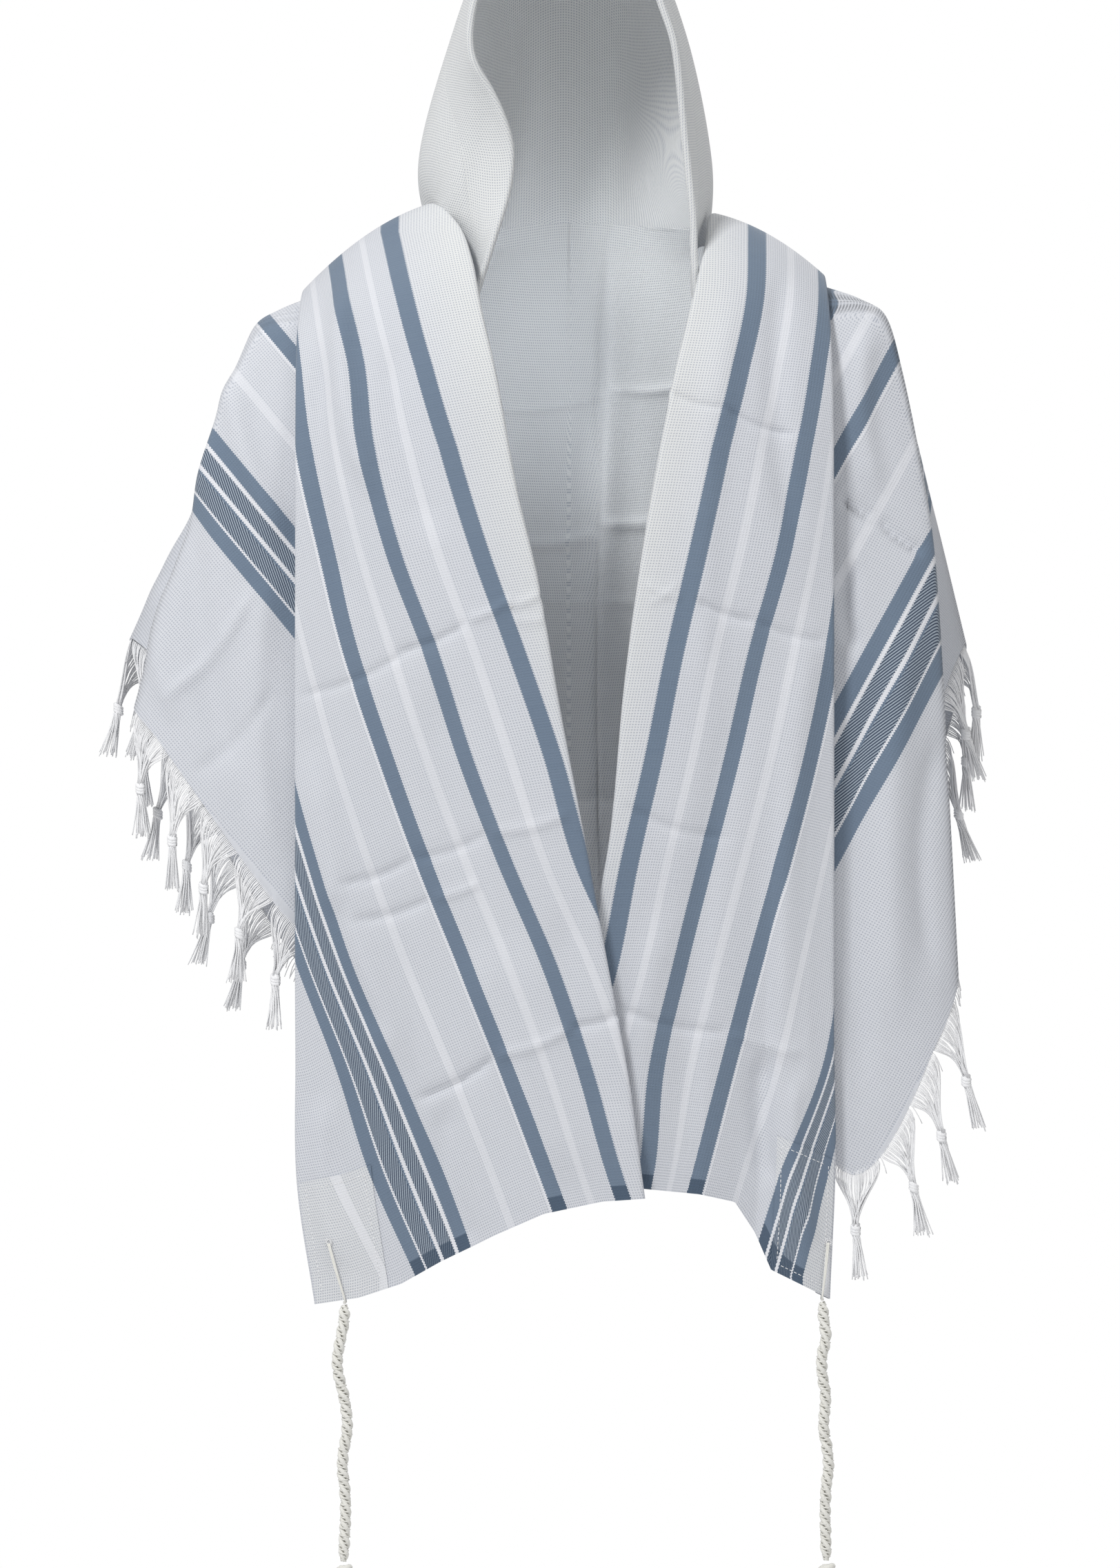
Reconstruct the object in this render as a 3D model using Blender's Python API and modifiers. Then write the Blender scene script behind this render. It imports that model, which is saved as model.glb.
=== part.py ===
"""A large woven prayer shawl, worn over the head and both shoulders and open down the front.

Metres, +Z up, the wearer faces -Y, and the origin is the crown of the head, under the hood.
Each stretch of the cloth is one sheet, lofted through a short table of sections, with a Solidify wall.
"""

from collections import namedtuple

import bmesh
import bpy
import numpy as np

# Walls, folds and joins
CLOTH = 0.002
PATCH = 0.001
SEAM = 0.0004
JOIN = 0.0007
NAPE_SPREAD = 0.004
FOLD_R = 0.003
FOLD_ANGLES = (60, 120, 180)
OUTWARD = (0, -0.4, 1)
OPENING_TURN = 0.025
SIDE_TURN = 0.028
SIDE_TURN_AT_HEM = 0.010
UNDER_PANEL = 0.0175
HOLD_AT = 0.88
HOLD_STEP = 0.05
SLEEVE_ROUNDNESS = 0.6

# Directions
DOWN = np.array((0, 0, -1.0))
LEVEL = np.array((1, 1, 0))
THIRDS = (0, 120, 240)
ACROSS_ALL_LOCKS = (0.31, 0.92, 0.22)

# How finely the sheets are divided
FRONT_ROWS = (0, 0.5, 1, 1.5, 2, 2.7, 3.4, 4.2, 5, 5.8, 6.7, 7.6, 8.5, 9.4, 10.2, 11, 11.35, 11.7, 12)
FRONT_COLUMNS = (0.0, 0.12, 0.25, 0.38, 0.52, 0.66, 0.78, 0.89, 1.0)
PATCH_ROWS = 4
PATCH_COLUMNS = 3
HOOD_COLUMNS = 21
HOOD_ROWS = 13
LAPEL_ROWS = 3
BACK_ROWS = 15
SLEEVE_ROWS = 21
SLEEVE_COLUMNS = 10

# Fringe
STRIP = 0.004
STRIP_GAP = 0.0009
TASSEL_PITCH = 0.053
FRINGE_DROP = 0.050
TAIL = 0.043
KNOT_R = 0.0046
FAN_SPREAD = (-0.018, -0.006, 0.006, 0.018)
FAN_RADII = (0.0017, 0.0009)
FAN_AT_KNOT = 0.13
TAIL_RADII = (0.0012, 0.0021, 0.0015)
TAIL_SPLAY = 0.007
TAIL_AT_KNOT = 0.25
LEAN_OUT = 0.40
LEAN_ASIDE = 0.10
TAIL_LEAN = 0.25
KNOT_LENGTH = 1.25
SEED = 11

# Corner strings and braids
STRING_D = 0.0026
STRING_GAP = 0.0006
STRING_BOW = 0.0015
STRING_TURN = 0.004
HEM_REACH_OF_STRINGS = 0.005
BRAID_NECK = 0.010
BRAID_STANDS_OUT = 0.002
BRAID_D = 0.011
BRAID_STEP = 0.016
END_KNOT_R = 0.0085

WHITE = (0.80, 0.81, 0.84, 1)
WARM_WHITE = (0.84, 0.85, 0.84, 1)
CREAM = (0.74, 0.73, 0.66, 1)

# A front panel, from behind the shoulder to the hem. Inner is the opening's edge, outer the side fold.
FrontSection = namedtuple(
    "FrontSection", "inner_x inner_y inner_z outer_x outer_y outer_z lift belly"
)
LEFT_FRONT = (
    FrontSection(-0.146, 0.036, -0.288, -0.238, 0.040, -0.352, 0.004, 0.000),
    FrontSection(-0.122, 0.007, -0.2615, -0.239, 0.008, -0.342, 0.010, 0.002),
    FrontSection(-0.098, -0.030, -0.281, -0.241, -0.030, -0.358, 0.010, 0.004),
    FrontSection(-0.085, -0.066, -0.315, -0.2425, -0.062, -0.392, 0.008, 0.006),
    FrontSection(-0.076, -0.092, -0.362, -0.2425, -0.080, -0.440, 0.004, 0.008),
    FrontSection(-0.062, -0.112, -0.425, -0.2425, -0.090, -0.500, 0.002, 0.010),
    FrontSection(-0.045, -0.124, -0.520, -0.2425, -0.095, -0.590, 0.000, 0.010),
    FrontSection(-0.026, -0.130, -0.603, -0.2425, -0.097, -0.690, 0.000, 0.009),
    FrontSection(-0.008, -0.133, -0.710, -0.2425, -0.098, -0.800, 0.000, 0.008),
    FrontSection(0.012, -0.135, -0.816, -0.2425, -0.098, -0.910, 0.000, 0.007),
    FrontSection(0.032, -0.135, -0.925, -0.242, -0.098, -1.020, 0.000, 0.006),
    FrontSection(0.052, -0.135, -1.034, -0.241, -0.099, -1.130, 0.000, 0.006),
    FrontSection(0.067, -0.134, -1.142, -0.225, -0.102, -1.238, 0.000, 0.006),
)
RIGHT_FRONT = (
    FrontSection(0.150, 0.036, -0.292, 0.230, 0.040, -0.338, 0.004, 0.000),
    FrontSection(0.1265, 0.010, -0.270, 0.230, 0.008, -0.3285, 0.008, 0.002),
    FrontSection(0.1206, -0.030, -0.297, 0.232, -0.030, -0.350, 0.008, 0.004),
    FrontSection(0.112, -0.064, -0.335, 0.2335, -0.060, -0.390, 0.005, 0.005),
    FrontSection(0.100, -0.088, -0.385, 0.2345, -0.078, -0.440, 0.002, 0.006),
    FrontSection(0.090, -0.104, -0.428, 0.2345, -0.088, -0.500, 0.000, 0.007),
    FrontSection(0.0735, -0.112, -0.515, 0.2345, -0.092, -0.590, 0.000, 0.007),
    FrontSection(0.0594, -0.116, -0.603, 0.2345, -0.094, -0.690, 0.000, 0.006),
    FrontSection(0.047, -0.118, -0.700, 0.2345, -0.095, -0.790, 0.000, 0.005),
    FrontSection(0.0364, -0.119, -0.816, 0.2345, -0.095, -0.890, 0.000, 0.004),
    FrontSection(0.022, -0.119, -0.905, 0.2345, -0.095, -1.000, 0.000, 0.003),
    FrontSection(0.008, -0.119, -1.020, 0.236, -0.096, -1.110, 0.000, 0.003),
    FrontSection(-0.003, -0.118, -1.135, 0.231, -0.098, -1.233, 0.000, 0.003),
)

# How far each hem leaves the straight line between its corners, and how far the cloth stands out there
HemPoint = namedtuple("HemPoint", "across rise out")
LEFT_HEM = (
    HemPoint(0.00, 0.000, 0.000),
    HemPoint(0.12, 0.009, 0.002),
    HemPoint(0.30, 0.015, 0.004),
    HemPoint(0.45, 0.010, -0.002),
    HemPoint(0.62, 0.002, -0.005),
    HemPoint(0.74, -0.006, 0.001),
    HemPoint(0.87, -0.006, 0.006),
    HemPoint(1.00, 0.000, 0.000),
)
RIGHT_HEM = (
    HemPoint(0.00, 0.000, 0.000),
    HemPoint(0.25, 0.026, 0.002),
    HemPoint(0.50, 0.044, 0.001),
    HemPoint(0.64, 0.050, -0.007),
    HemPoint(0.72, 0.030, -0.009),
    HemPoint(0.78, 0.004, 0.001),
    HemPoint(0.90, 0.002, 0.006),
    HemPoint(1.00, 0.000, 0.000),
)
HEM_REACH = 0.34

# The hood, from the rim round the face to the nape. Each arch runs from foot to crown and down again.
HoodArch = namedtuple(
    "HoodArch",
    "foot_left foot_right foot_y foot_z chin_left chin_right chin_y chin_z "
    "temple temple_y temple_z crown_y crown_z",
)
HOOD = (
    HoodArch(
        -0.086, 0.112, -0.047, -0.372, -0.0515, 0.100, -0.050, -0.224, 0.084, -0.070, -0.115, -0.088,
        -0.004,
    ),
    HoodArch(
        -0.080, 0.108, -0.026, -0.335, -0.104, 0.113, -0.020, -0.224, 0.097, -0.030, -0.112, -0.045,
        0.000,
    ),
    HoodArch(
        -0.098, 0.112, 0.004, -0.305, -0.128, 0.124, 0.012, -0.224, 0.104, 0.015, -0.112, 0.000, 0.001,
    ),
    HoodArch(
        -0.122, 0.124, 0.042, -0.298, -0.134, 0.127, 0.045, -0.224, 0.100, 0.058, -0.115, 0.050,
        -0.008,
    ),
    HoodArch(
        -0.121, 0.122, 0.060, -0.290, -0.124, 0.120, 0.066, -0.232, 0.088, 0.090, -0.140, 0.092,
        -0.045,
    ),
    HoodArch(
        -0.120, 0.121, 0.069, -0.286, -0.112, 0.110, 0.080, -0.250, 0.076, 0.103, -0.190, 0.109,
        -0.120,
    ),
    HoodArch(
        -0.120, 0.121, 0.076, -0.283, -0.102, 0.102, 0.090, -0.280, 0.070, 0.104, -0.277, 0.111,
        -0.274,
    ),
)
BROW_SHARE = 0.62
BROW_DROP = 0.25

# Width of the turned-back front edge of the hood, from the left foot over the crown to the right foot
LAPEL = (0.008, 0.040, 0.060, 0.056, 0.048, 0.042, 0.036, 0.030, 0.025, 0.018, 0.008)

# The back, from the nape to the hem. The side is where it meets the shoulders and then the sleeve drapes.
BackSection = namedtuple(
    "BackSection", "left_x left_y left_z right_x right_y right_z middle_y middle_z"
)
BACK = (
    BackSection(-0.1475, 0.0375, -0.2910, 0.1515, 0.0375, -0.2950, 0.1125, -0.297),
    BackSection(-0.192, 0.0405, -0.3215, 0.190, 0.0405, -0.3175, 0.113, -0.312),
    BackSection(-0.238, 0.0425, -0.3545, 0.230, 0.0425, -0.3405, 0.114, -0.340),
    BackSection(-0.240, 0.076, -0.396, 0.234, 0.076, -0.388, 0.116, -0.385),
    BackSection(-0.240, 0.094, -0.450, 0.236, 0.094, -0.445, 0.118, -0.445),
    BackSection(-0.240, 0.104, -0.520, 0.237, 0.104, -0.520, 0.119, -0.520),
    BackSection(-0.240, 0.111, -0.610, 0.237, 0.111, -0.610, 0.119, -0.615),
    BackSection(-0.239, 0.117, -0.710, 0.236, 0.117, -0.710, 0.119, -0.720),
    BackSection(-0.236, 0.120, -0.830, 0.233, 0.120, -0.830, 0.120, -0.850),
    BackSection(-0.228, 0.122, -0.965, 0.226, 0.122, -0.965, 0.120, -1.000),
)
BackFold = namedtuple("BackFold", "top_x hem_x width depth")
BACK_FOLDS = (
    BackFold(-0.165, -0.175, 0.022, 0.011),
    BackFold(-0.095, -0.105, 0.026, -0.009),
    BackFold(-0.030, -0.040, 0.024, 0.010),
    BackFold(0.036, 0.026, 0.017, -0.018),
    BackFold(0.098, 0.104, 0.024, 0.012),
    BackFold(0.168, 0.176, 0.022, -0.009),
)
FOLDS_START_Z = -0.30
SIDE_ROUNDING = 5
FOLDS_FULL_Z = -0.62

# A sleeve drape, fold by fold from the front round the arm to the back. hold is the place along the front
# panel, in sections from its top, under which the fold starts. The last one joins the back.
SleeveFold = namedtuple("SleeveFold", "hold top cap bend end")
LEFT_SLEEVE = (
    SleeveFold(5.40, None, 6.2, 8.0, 9.40),
    SleeveFold(4.70, None, (-0.237, -0.074, -0.540), (-0.249, -0.083, -0.720), (-0.254, -0.085, -0.892)),
    SleeveFold(4.00, None, (-0.252, -0.064, -0.460), (-0.279, -0.078, -0.620), (-0.315, -0.084, -0.808)),
    SleeveFold(3.20, None, (-0.262, -0.048, -0.410), (-0.304, -0.068, -0.545), (-0.364, -0.072, -0.739)),
    SleeveFold(2.50, None, (-0.275, -0.030, -0.381), (-0.3245, -0.052, -0.500), (-0.384, -0.056, -0.713)),
    SleeveFold(1.80, None, (-0.278, -0.012, -0.373), (-0.321, -0.030, -0.490), (-0.370, -0.030, -0.698)),
    SleeveFold(1.10, None, (-0.278, 0.004, -0.372), (-0.312, -0.002, -0.480), (-0.350, 0.002, -0.688)),
    SleeveFold(0.60, None, (-0.277, 0.020, -0.375), (-0.3265, 0.024, -0.505), (-0.391, 0.030, -0.650)),
    SleeveFold(0.15, None, (-0.272, 0.042, -0.385), (-0.318, 0.057, -0.520), (-0.372, 0.072, -0.700)),
    SleeveFold(
        0.00, (-0.2425, 0.056, -0.3735), (-0.259, 0.080, -0.430), (-0.284, 0.102, -0.620),
        (-0.310, 0.114, -0.840),
    ),
)
RIGHT_SLEEVE = (
    SleeveFold(5.40, None, 6.8, 9.0, 10.90),
    SleeveFold(4.70, None, (0.231, -0.073, -0.600), (0.241, -0.082, -0.850), (0.249, -0.083, -1.124)),
    SleeveFold(4.00, None, (0.248, -0.064, -0.500), (0.266, -0.078, -0.750), (0.284, -0.081, -1.094)),
    SleeveFold(3.20, None, (0.264, -0.048, -0.420), (0.294, -0.068, -0.650), (0.318, -0.074, -1.022)),
    SleeveFold(2.50, None, (0.279, -0.030, -0.371), (0.3215, -0.050, -0.580), (0.3435, -0.056, -0.955)),
    SleeveFold(1.80, None, (0.281, -0.012, -0.366), (0.3185, -0.028, -0.560), (0.333, -0.030, -0.890)),
    SleeveFold(1.10, None, (0.280, 0.004, -0.364), (0.310, -0.002, -0.520), (0.318, 0.002, -0.760)),
    SleeveFold(0.60, None, (0.279, 0.020, -0.365), (0.321, 0.024, -0.520), (0.353, 0.030, -0.656)),
    SleeveFold(0.15, None, (0.275, 0.042, -0.376), (0.314, 0.057, -0.530), (0.345, 0.072, -0.715)),
    SleeveFold(
        0.00, (0.2355, 0.056, -0.3620), (0.255, 0.080, -0.430), (0.280, 0.102, -0.620),
        (0.302, 0.114, -0.845),
    ),
)

# Runs of tassels along each fringed edge: how far from its front end, and how many
LEFT_TASSELS = ((0.055, 5), (0.405, 7))
RIGHT_TASSELS = ((0.068, 4), (0.550, 7))

# Eyelet, the place where the strings leave the hem, and the braid below it, corner by corner
Corner = namedtuple("Corner", "name eyelet hem braid")
CORNERS = (
    Corner(
        "front_left", (-0.211, -1.183), (-0.197, -1.2335),
        (
            (-0.2000, -1.265), (-0.2035, -1.290), (-0.1975, -1.318), (-0.1945, -1.345),
            (-0.199, -1.375), (-0.196, -1.410), (-0.198, -1.462),
        ),
    ),
    Corner(
        "front_right", (0.2275, -1.183), (0.2225, -1.2335),
        (
            (0.2260, -1.262), (0.2215, -1.290), (0.2255, -1.318), (0.2235, -1.345),
            (0.228, -1.375), (0.225, -1.410), (0.226, -1.462),
        ),
    ),
    Corner(
        "back_left", (-0.212, -0.928), (-0.206, -0.977),
        (
            (-0.207, -1.006), (-0.2035, -1.034), (-0.207, -1.062), (-0.204, -1.090),
            (-0.206, -1.120), (-0.203, -1.155), (-0.205, -1.205),
        ),
    ),
    Corner(
        "back_right", (0.210, -0.928), (0.204, -0.977),
        (
            (0.205, -1.006), (0.2015, -1.034), (0.205, -1.062), (0.202, -1.090), (0.204, -1.120),
            (0.201, -1.155), (0.203, -1.205),
        ),
    ),
)


def clear_scene():
    for old in list(bpy.data.objects):
        bpy.data.objects.remove(old, do_unlink=True)


def new_collection(name, hidden=False):
    made = bpy.data.collections.new(name)
    bpy.context.scene.collection.children.link(made)
    made.hide_render = hidden
    return made


def new_material(name, colour, roughness):
    made = bpy.data.materials.new(name)
    made.use_nodes = True
    shader = made.node_tree.nodes["Principled BSDF"]
    shader.inputs["Base Color"].default_value = colour
    shader.inputs["Roughness"].default_value = roughness
    shader.inputs["Metallic"].default_value = 0.0
    made.diffuse_color = colour
    return made


def unit(vectors):
    return vectors / np.maximum(np.linalg.norm(vectors, axis=-1, keepdims=True), 1e-12)


def smooth(rows, places, roundness=1.0):
    """The rows' values at places counted in rows from the first, on smooth curves through them all."""
    rows = np.array(rows, float)
    slopes = np.gradient(rows, axis=0) * roundness
    found = []
    for place in np.clip(places, 0, len(rows) - 1):
        i = min(int(place), len(rows) - 2)
        f = place - i
        found.append(
            rows[i] * (2 * f**3 - 3 * f**2 + 1)
            + slopes[i] * (f**3 - 2 * f**2 + f)
            + rows[i + 1] * (3 * f**2 - 2 * f**3)
            + slopes[i + 1] * (f**3 - f**2)
        )
    return np.array(found)


def grid_normals(grid, outward):
    """Unit normals of a grid of points, on the side that outward points to."""
    normals = unit(np.cross(np.gradient(grid, axis=1), np.gradient(grid, axis=0)))
    return normals * np.sign((normals @ np.array(outward, float)).mean())


def turned_edge(edge, away, normal, width, side):
    """Rows of points that fold a sheet back on itself at an edge: under for side -1, over for side 1."""
    centre = edge + normal * FOLD_R * side
    rows = []
    for angle in np.radians(FOLD_ANGLES):
        rows.append(centre + FOLD_R * (-side * normal * np.cos(angle) + away * np.sin(angle)))
    rows.append(rows[-1] - away * np.asarray(width)[..., None])
    return rows


def grid_mesh(name, grid):
    rows, columns = grid.shape[:2]
    made = bpy.data.meshes.new(name)
    faces = [
        (r * columns + c, r * columns + c + 1, (r + 1) * columns + c + 1, (r + 1) * columns + c)
        for r in range(rows - 1)
        for c in range(columns - 1)
    ]
    made.from_pydata([tuple(p) for p in grid.reshape(-1, 3)], [], faces)
    made.shade_smooth()
    return made


def add_sheet(name, grid, material, collection, thickness=CLOTH):
    """A wall of cloth about a grid of points."""
    sheet = bpy.data.objects.new(name, grid_mesh(name, grid))
    sheet.data.materials.append(material)
    collection.objects.link(sheet)
    wall = sheet.modifiers.new("Wall", "SOLIDIFY")
    wall.thickness = thickness
    wall.offset = 0.0
    return sheet


def front_grid(sections, hem, across, down):
    """Points of a front panel between its two folds. across runs from 0 at the opening to 1 at the side."""
    across = np.array(across, float)
    values = smooth(sections, down)
    inner, outer = values[:, 0:3], values[:, 3:6]
    inset = unit(outer - inner) * (FOLD_R + CLOTH / 2)
    inner, outer = inner + inset, outer - inset
    grid = inner[:, None] + (outer - inner)[:, None] * across[None, :, None]
    bow = 4 * across * (1 - across)
    near_hem = np.clip((np.array(down) / (len(sections) - 1) - 1 + HEM_REACH) / HEM_REACH, 0, 1)
    hem = np.array(hem)
    rise, out = np.interp(across, hem[:, 0], hem[:, 1]), np.interp(across, hem[:, 0], hem[:, 2])
    grid[..., 2] += values[:, 6:7] * bow + near_hem[:, None] ** 1.5 * rise
    grid[..., 1] -= values[:, 7:8] * bow + near_hem[:, None] * out
    return grid


def front_sheet(sections, hem):
    """(the whole sheet with its turned edges, its plain middle, the middle's normals)"""
    down = np.array(FRONT_ROWS, float)
    middle = front_grid(sections, hem, FRONT_COLUMNS, down)
    normals = grid_normals(middle, OUTWARD)
    share = down / (len(sections) - 1)
    side_width = SIDE_TURN + (SIDE_TURN_AT_HEM - SIDE_TURN) * np.clip((share - 0.8) / 0.2, 0, 1)
    to_opening = unit(middle[:, 0] - middle[:, 1])
    to_side = unit(middle[:, -1] - middle[:, -2])
    opening = turned_edge(middle[:, 0], to_opening, normals[:, 0], np.full(len(down), OPENING_TURN), -1)
    side = turned_edge(middle[:, -1], to_side, normals[:, -1], side_width, -1)
    columns = opening[::-1] + [middle[:, i] for i in range(middle.shape[1])] + side
    return np.stack(columns, axis=1), middle, normals


def under_front(sections, hem, down):
    """The point behind a front panel's turned side, at a place counted in sections from its top."""
    steps = np.array((-HOLD_STEP, 0, HOLD_STEP))
    near = front_grid(sections, hem, HOLD_AT + steps, down + steps)
    return near[1, 1] - grid_normals(near, OUTWARD)[1, 1] * UNDER_PANEL


def sleeve_grid(folds, sections, hem, back_edge):
    """Points of a sleeve drape. Its last line follows back_edge, the side of the back."""
    lines = []
    for fold in folds:
        held = [fold.top, fold.cap, fold.bend, fold.end]
        held[0] = fold.hold if fold.top is None else fold.top
        points = [p if isinstance(p, tuple) else under_front(sections, hem, p) for p in held]
        lines.append(smooth(points, np.linspace(0, 3, SLEEVE_COLUMNS), SLEEVE_ROUNDNESS).ravel())
    outward = np.array((np.sign(back_edge[-1, 0]) * JOIN, 0, 0))
    lines.append((back_edge[-SLEEVE_COLUMNS:] + outward).ravel())
    places = np.linspace(0, len(lines) - 1, SLEEVE_ROWS)
    return smooth(lines, places).reshape(SLEEVE_ROWS, SLEEVE_COLUMNS, 3)


def arch_points(arch):
    """The nine points of one arch of the hood, left foot to right foot."""
    brow_y = arch.temple_y + (arch.crown_y - arch.temple_y) * BROW_SHARE
    brow_z = arch.crown_z + (arch.temple_z - arch.crown_z) * BROW_DROP
    brow = arch.temple * BROW_SHARE
    left = [
        (arch.foot_left, arch.foot_y, arch.foot_z),
        (arch.chin_left, arch.chin_y, arch.chin_z),
        (-arch.temple, arch.temple_y, arch.temple_z),
        (-brow, brow_y, brow_z),
    ]
    right = [
        (brow, brow_y, brow_z),
        (arch.temple, arch.temple_y, arch.temple_z),
        (arch.chin_right, arch.chin_y, arch.chin_z),
        (arch.foot_right, arch.foot_y, arch.foot_z),
    ]
    return left + [(0.0, arch.crown_y, arch.crown_z)] + right


def hood_grid(arches_at):
    lines = [smooth(arch_points(a), np.linspace(0, 8, HOOD_COLUMNS)).ravel() for a in HOOD]
    return smooth(lines, arches_at).reshape(len(arches_at), HOOD_COLUMNS, 3)


def back_folds(grid):
    """The depth of the soft folds down the back at each point."""
    x, z = grid[..., 0], grid[..., 2]
    grown = np.clip((FOLDS_START_Z - z) / (FOLDS_START_Z - FOLDS_FULL_Z), 0, 1)
    depth = np.zeros_like(x)
    for fold in BACK_FOLDS:
        middle = fold.top_x + (fold.hem_x - fold.top_x) * grown
        depth += fold.depth * grown * np.exp(-(((x - middle) / fold.width) ** 2))
    return depth


def back_rows():
    """Rows of points from the hood's last arch down to the hem, the first of them that arch itself."""
    nape = hood_grid([len(HOOD) - 1])[0]
    across = np.linspace(-1, 1, HOOD_COLUMNS)
    rows = [nape]
    for place in np.linspace(0, len(BACK) - 1, BACK_ROWS):
        s = BackSection(*smooth(BACK, [place])[0])
        side = np.where(across < 0, 0, 1)[:, None]
        end = np.where(side, [s.right_x, s.right_y, s.right_z], [s.left_x, s.left_y, s.left_z])
        share = np.abs(across)
        row = np.empty((HOOD_COLUMNS, 3))
        row[:, 0] = end[:, 0] * share
        row[:, 1] = s.middle_y + (end[:, 1] - s.middle_y) * share**SIDE_ROUNDING
        row[:, 2] = s.middle_z + (end[:, 2] - s.middle_z) * share**2
        rows.append(row)
    grid = np.stack(rows)
    grid[1:, 1:-1, 1] += back_folds(grid)[1:, 1:-1]
    return grid


def hood_sheet():
    wall = hood_grid(np.linspace(0, len(HOOD) - 1, HOOD_ROWS))
    normals = unit(np.cross(np.gradient(wall, axis=1), np.gradient(wall, axis=0)))
    normals *= np.sign((normals[2, HOOD_COLUMNS // 2] @ np.array((0, 0, 1.0))))
    away = unit(wall[0] - wall[1])
    width = np.interp(np.linspace(0, 1, HOOD_COLUMNS), np.linspace(0, 1, len(LAPEL)), LAPEL)
    turn = turned_edge(wall[0], away, normals[0], width, 1)[:-1]
    step = np.linalg.norm(wall[1] - wall[0], axis=1) + 1e-9
    lapel = []
    for share in np.arange(LAPEL_ROWS, 0, -1) / LAPEL_ROWS:
        place = np.minimum(share * width / step, 2.0)
        low, high = np.floor(place).astype(int), np.ceil(place).astype(int)
        columns = np.arange(HOOD_COLUMNS)
        part = (place - low)[:, None]
        point = wall[low, columns] * (1 - part) + wall[high, columns] * part
        out = unit(normals[low, columns] * (1 - part) + normals[high, columns] * part)
        lapel.append(point + out * 2 * FOLD_R)
    return np.stack(lapel + turn[::-1] + list(wall))


def rings_mesh(rings):
    """One closed tube through rings of equal point counts, in a bmesh that its caller frees."""
    made = bmesh.new()
    layers = [[made.verts.new(p) for p in ring] for ring in rings]
    count = len(layers[0])
    for low, high in zip(layers, layers[1:]):
        for i in range(count):
            j = (i + 1) % count
            made.faces.new((low[i], low[j], high[j], high[i]))
    made.faces.new(layers[0][::-1])
    made.faces.new(layers[-1])
    bmesh.ops.recalc_face_normals(made, faces=made.faces)
    return made


def add_lock(into, centres, radii, turn):
    """A three-sided lock of threads along its centres."""
    centres = np.array(centres, float)
    rings = []
    for centre, tangent, radius in zip(centres, unit(np.gradient(centres, axis=0)), radii):
        side = unit(np.cross(tangent, ACROSS_ALL_LOCKS))
        up = np.cross(side, tangent)
        angles = turn + np.radians(THIRDS)
        rings.append([centre + radius * (side * np.cos(a) + up * np.sin(a)) for a in angles])
    lock = rings_mesh(rings)
    held = bpy.data.meshes.new("lock")
    lock.to_mesh(held)
    lock.free()
    into.from_mesh(held)
    bpy.data.meshes.remove(held)


def add_knot(into, centre, turn):
    knot = bmesh.ops.create_icosphere(into, subdivisions=1, radius=KNOT_R)
    for vertex in knot["verts"]:
        x, y, z = vertex.co
        vertex.co = (
            centre[0] + x * np.cos(turn) - y * np.sin(turn),
            centre[1] + x * np.sin(turn) + y * np.cos(turn),
            centre[2] + z * KNOT_LENGTH,
        )


def along(line, values, distance):
    """The values that belong to the line's points, at a distance along it."""
    lengths = np.concatenate([[0], np.cumsum(np.linalg.norm(np.diff(line, axis=0), axis=1))])
    return np.array([np.interp(distance, lengths, values[:, k]) for k in range(3)])


def add_fringe(name, grid, tassels, material, collection, helpers):
    """A narrow strip along the fringed edge of a sleeve drape, with its tassels fused to it."""
    edge = grid[:, -1]
    down = unit(grid[:, -1] - grid[:, -2])
    tangent = unit(np.gradient(edge, axis=0))
    out = unit(down - tangent * (down * tangent).sum(axis=1, keepdims=True))
    lines = [edge + out * STRIP_GAP, edge + out * (STRIP_GAP + STRIP)]
    strip = add_sheet(name, np.stack(lines, axis=1), material, collection)
    root = edge + out * (STRIP_GAP + STRIP * 0.7)
    random = np.random.default_rng(SEED)
    made = bmesh.new()
    places = [first + number * TASSEL_PITCH for first, count in tassels for number in range(count)]
    for place in places:
        middle, outward = along(root, root, place), unit(along(root, out, place))
        fall = unit(DOWN + LEAN_OUT * outward + random.uniform(-LEAN_ASIDE, LEAN_ASIDE, 3) * LEVEL)
        knot = middle + fall * FRINGE_DROP * random.uniform(0.94, 1.06)
        turn = random.uniform(0, 2)
        for spread in FAN_SPREAD:
            start = along(root, root, place + spread)
            into_knot = knot - fall * KNOT_R * 0.3 + (start - middle) * FAN_AT_KNOT
            add_lock(made, [start, into_knot], FAN_RADII, turn)
        add_knot(made, knot, turn)
        drop = unit(fall + DOWN + random.uniform(-TAIL_LEAN, TAIL_LEAN, 3) * LEVEL)
        for angle in turn + np.radians(THIRDS):
            splay = np.array((np.cos(angle), np.sin(angle), 0)) * TAIL_SPLAY
            end = knot + drop * TAIL * random.uniform(0.9, 1.05) + splay
            waist = knot + drop * TAIL * 0.45 + splay * 0.55
            start = knot + drop * KNOT_R * 0.5 + splay * TAIL_AT_KNOT
            add_lock(made, [start, waist, end], TAIL_RADII, turn)
    held = bpy.data.meshes.new(name + "_locks")
    made.to_mesh(held)
    made.free()
    locks = bpy.data.objects.new(name + "_locks", held)
    helpers.objects.link(locks)
    locks.hide_render = True
    locks.display_type = "WIRE"
    fuse = strip.modifiers.new("Locks", "BOOLEAN")
    fuse.operation = "UNION"
    fuse.solver = "EXACT"
    fuse.use_self = True
    fuse.object = locks
    return strip


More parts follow.
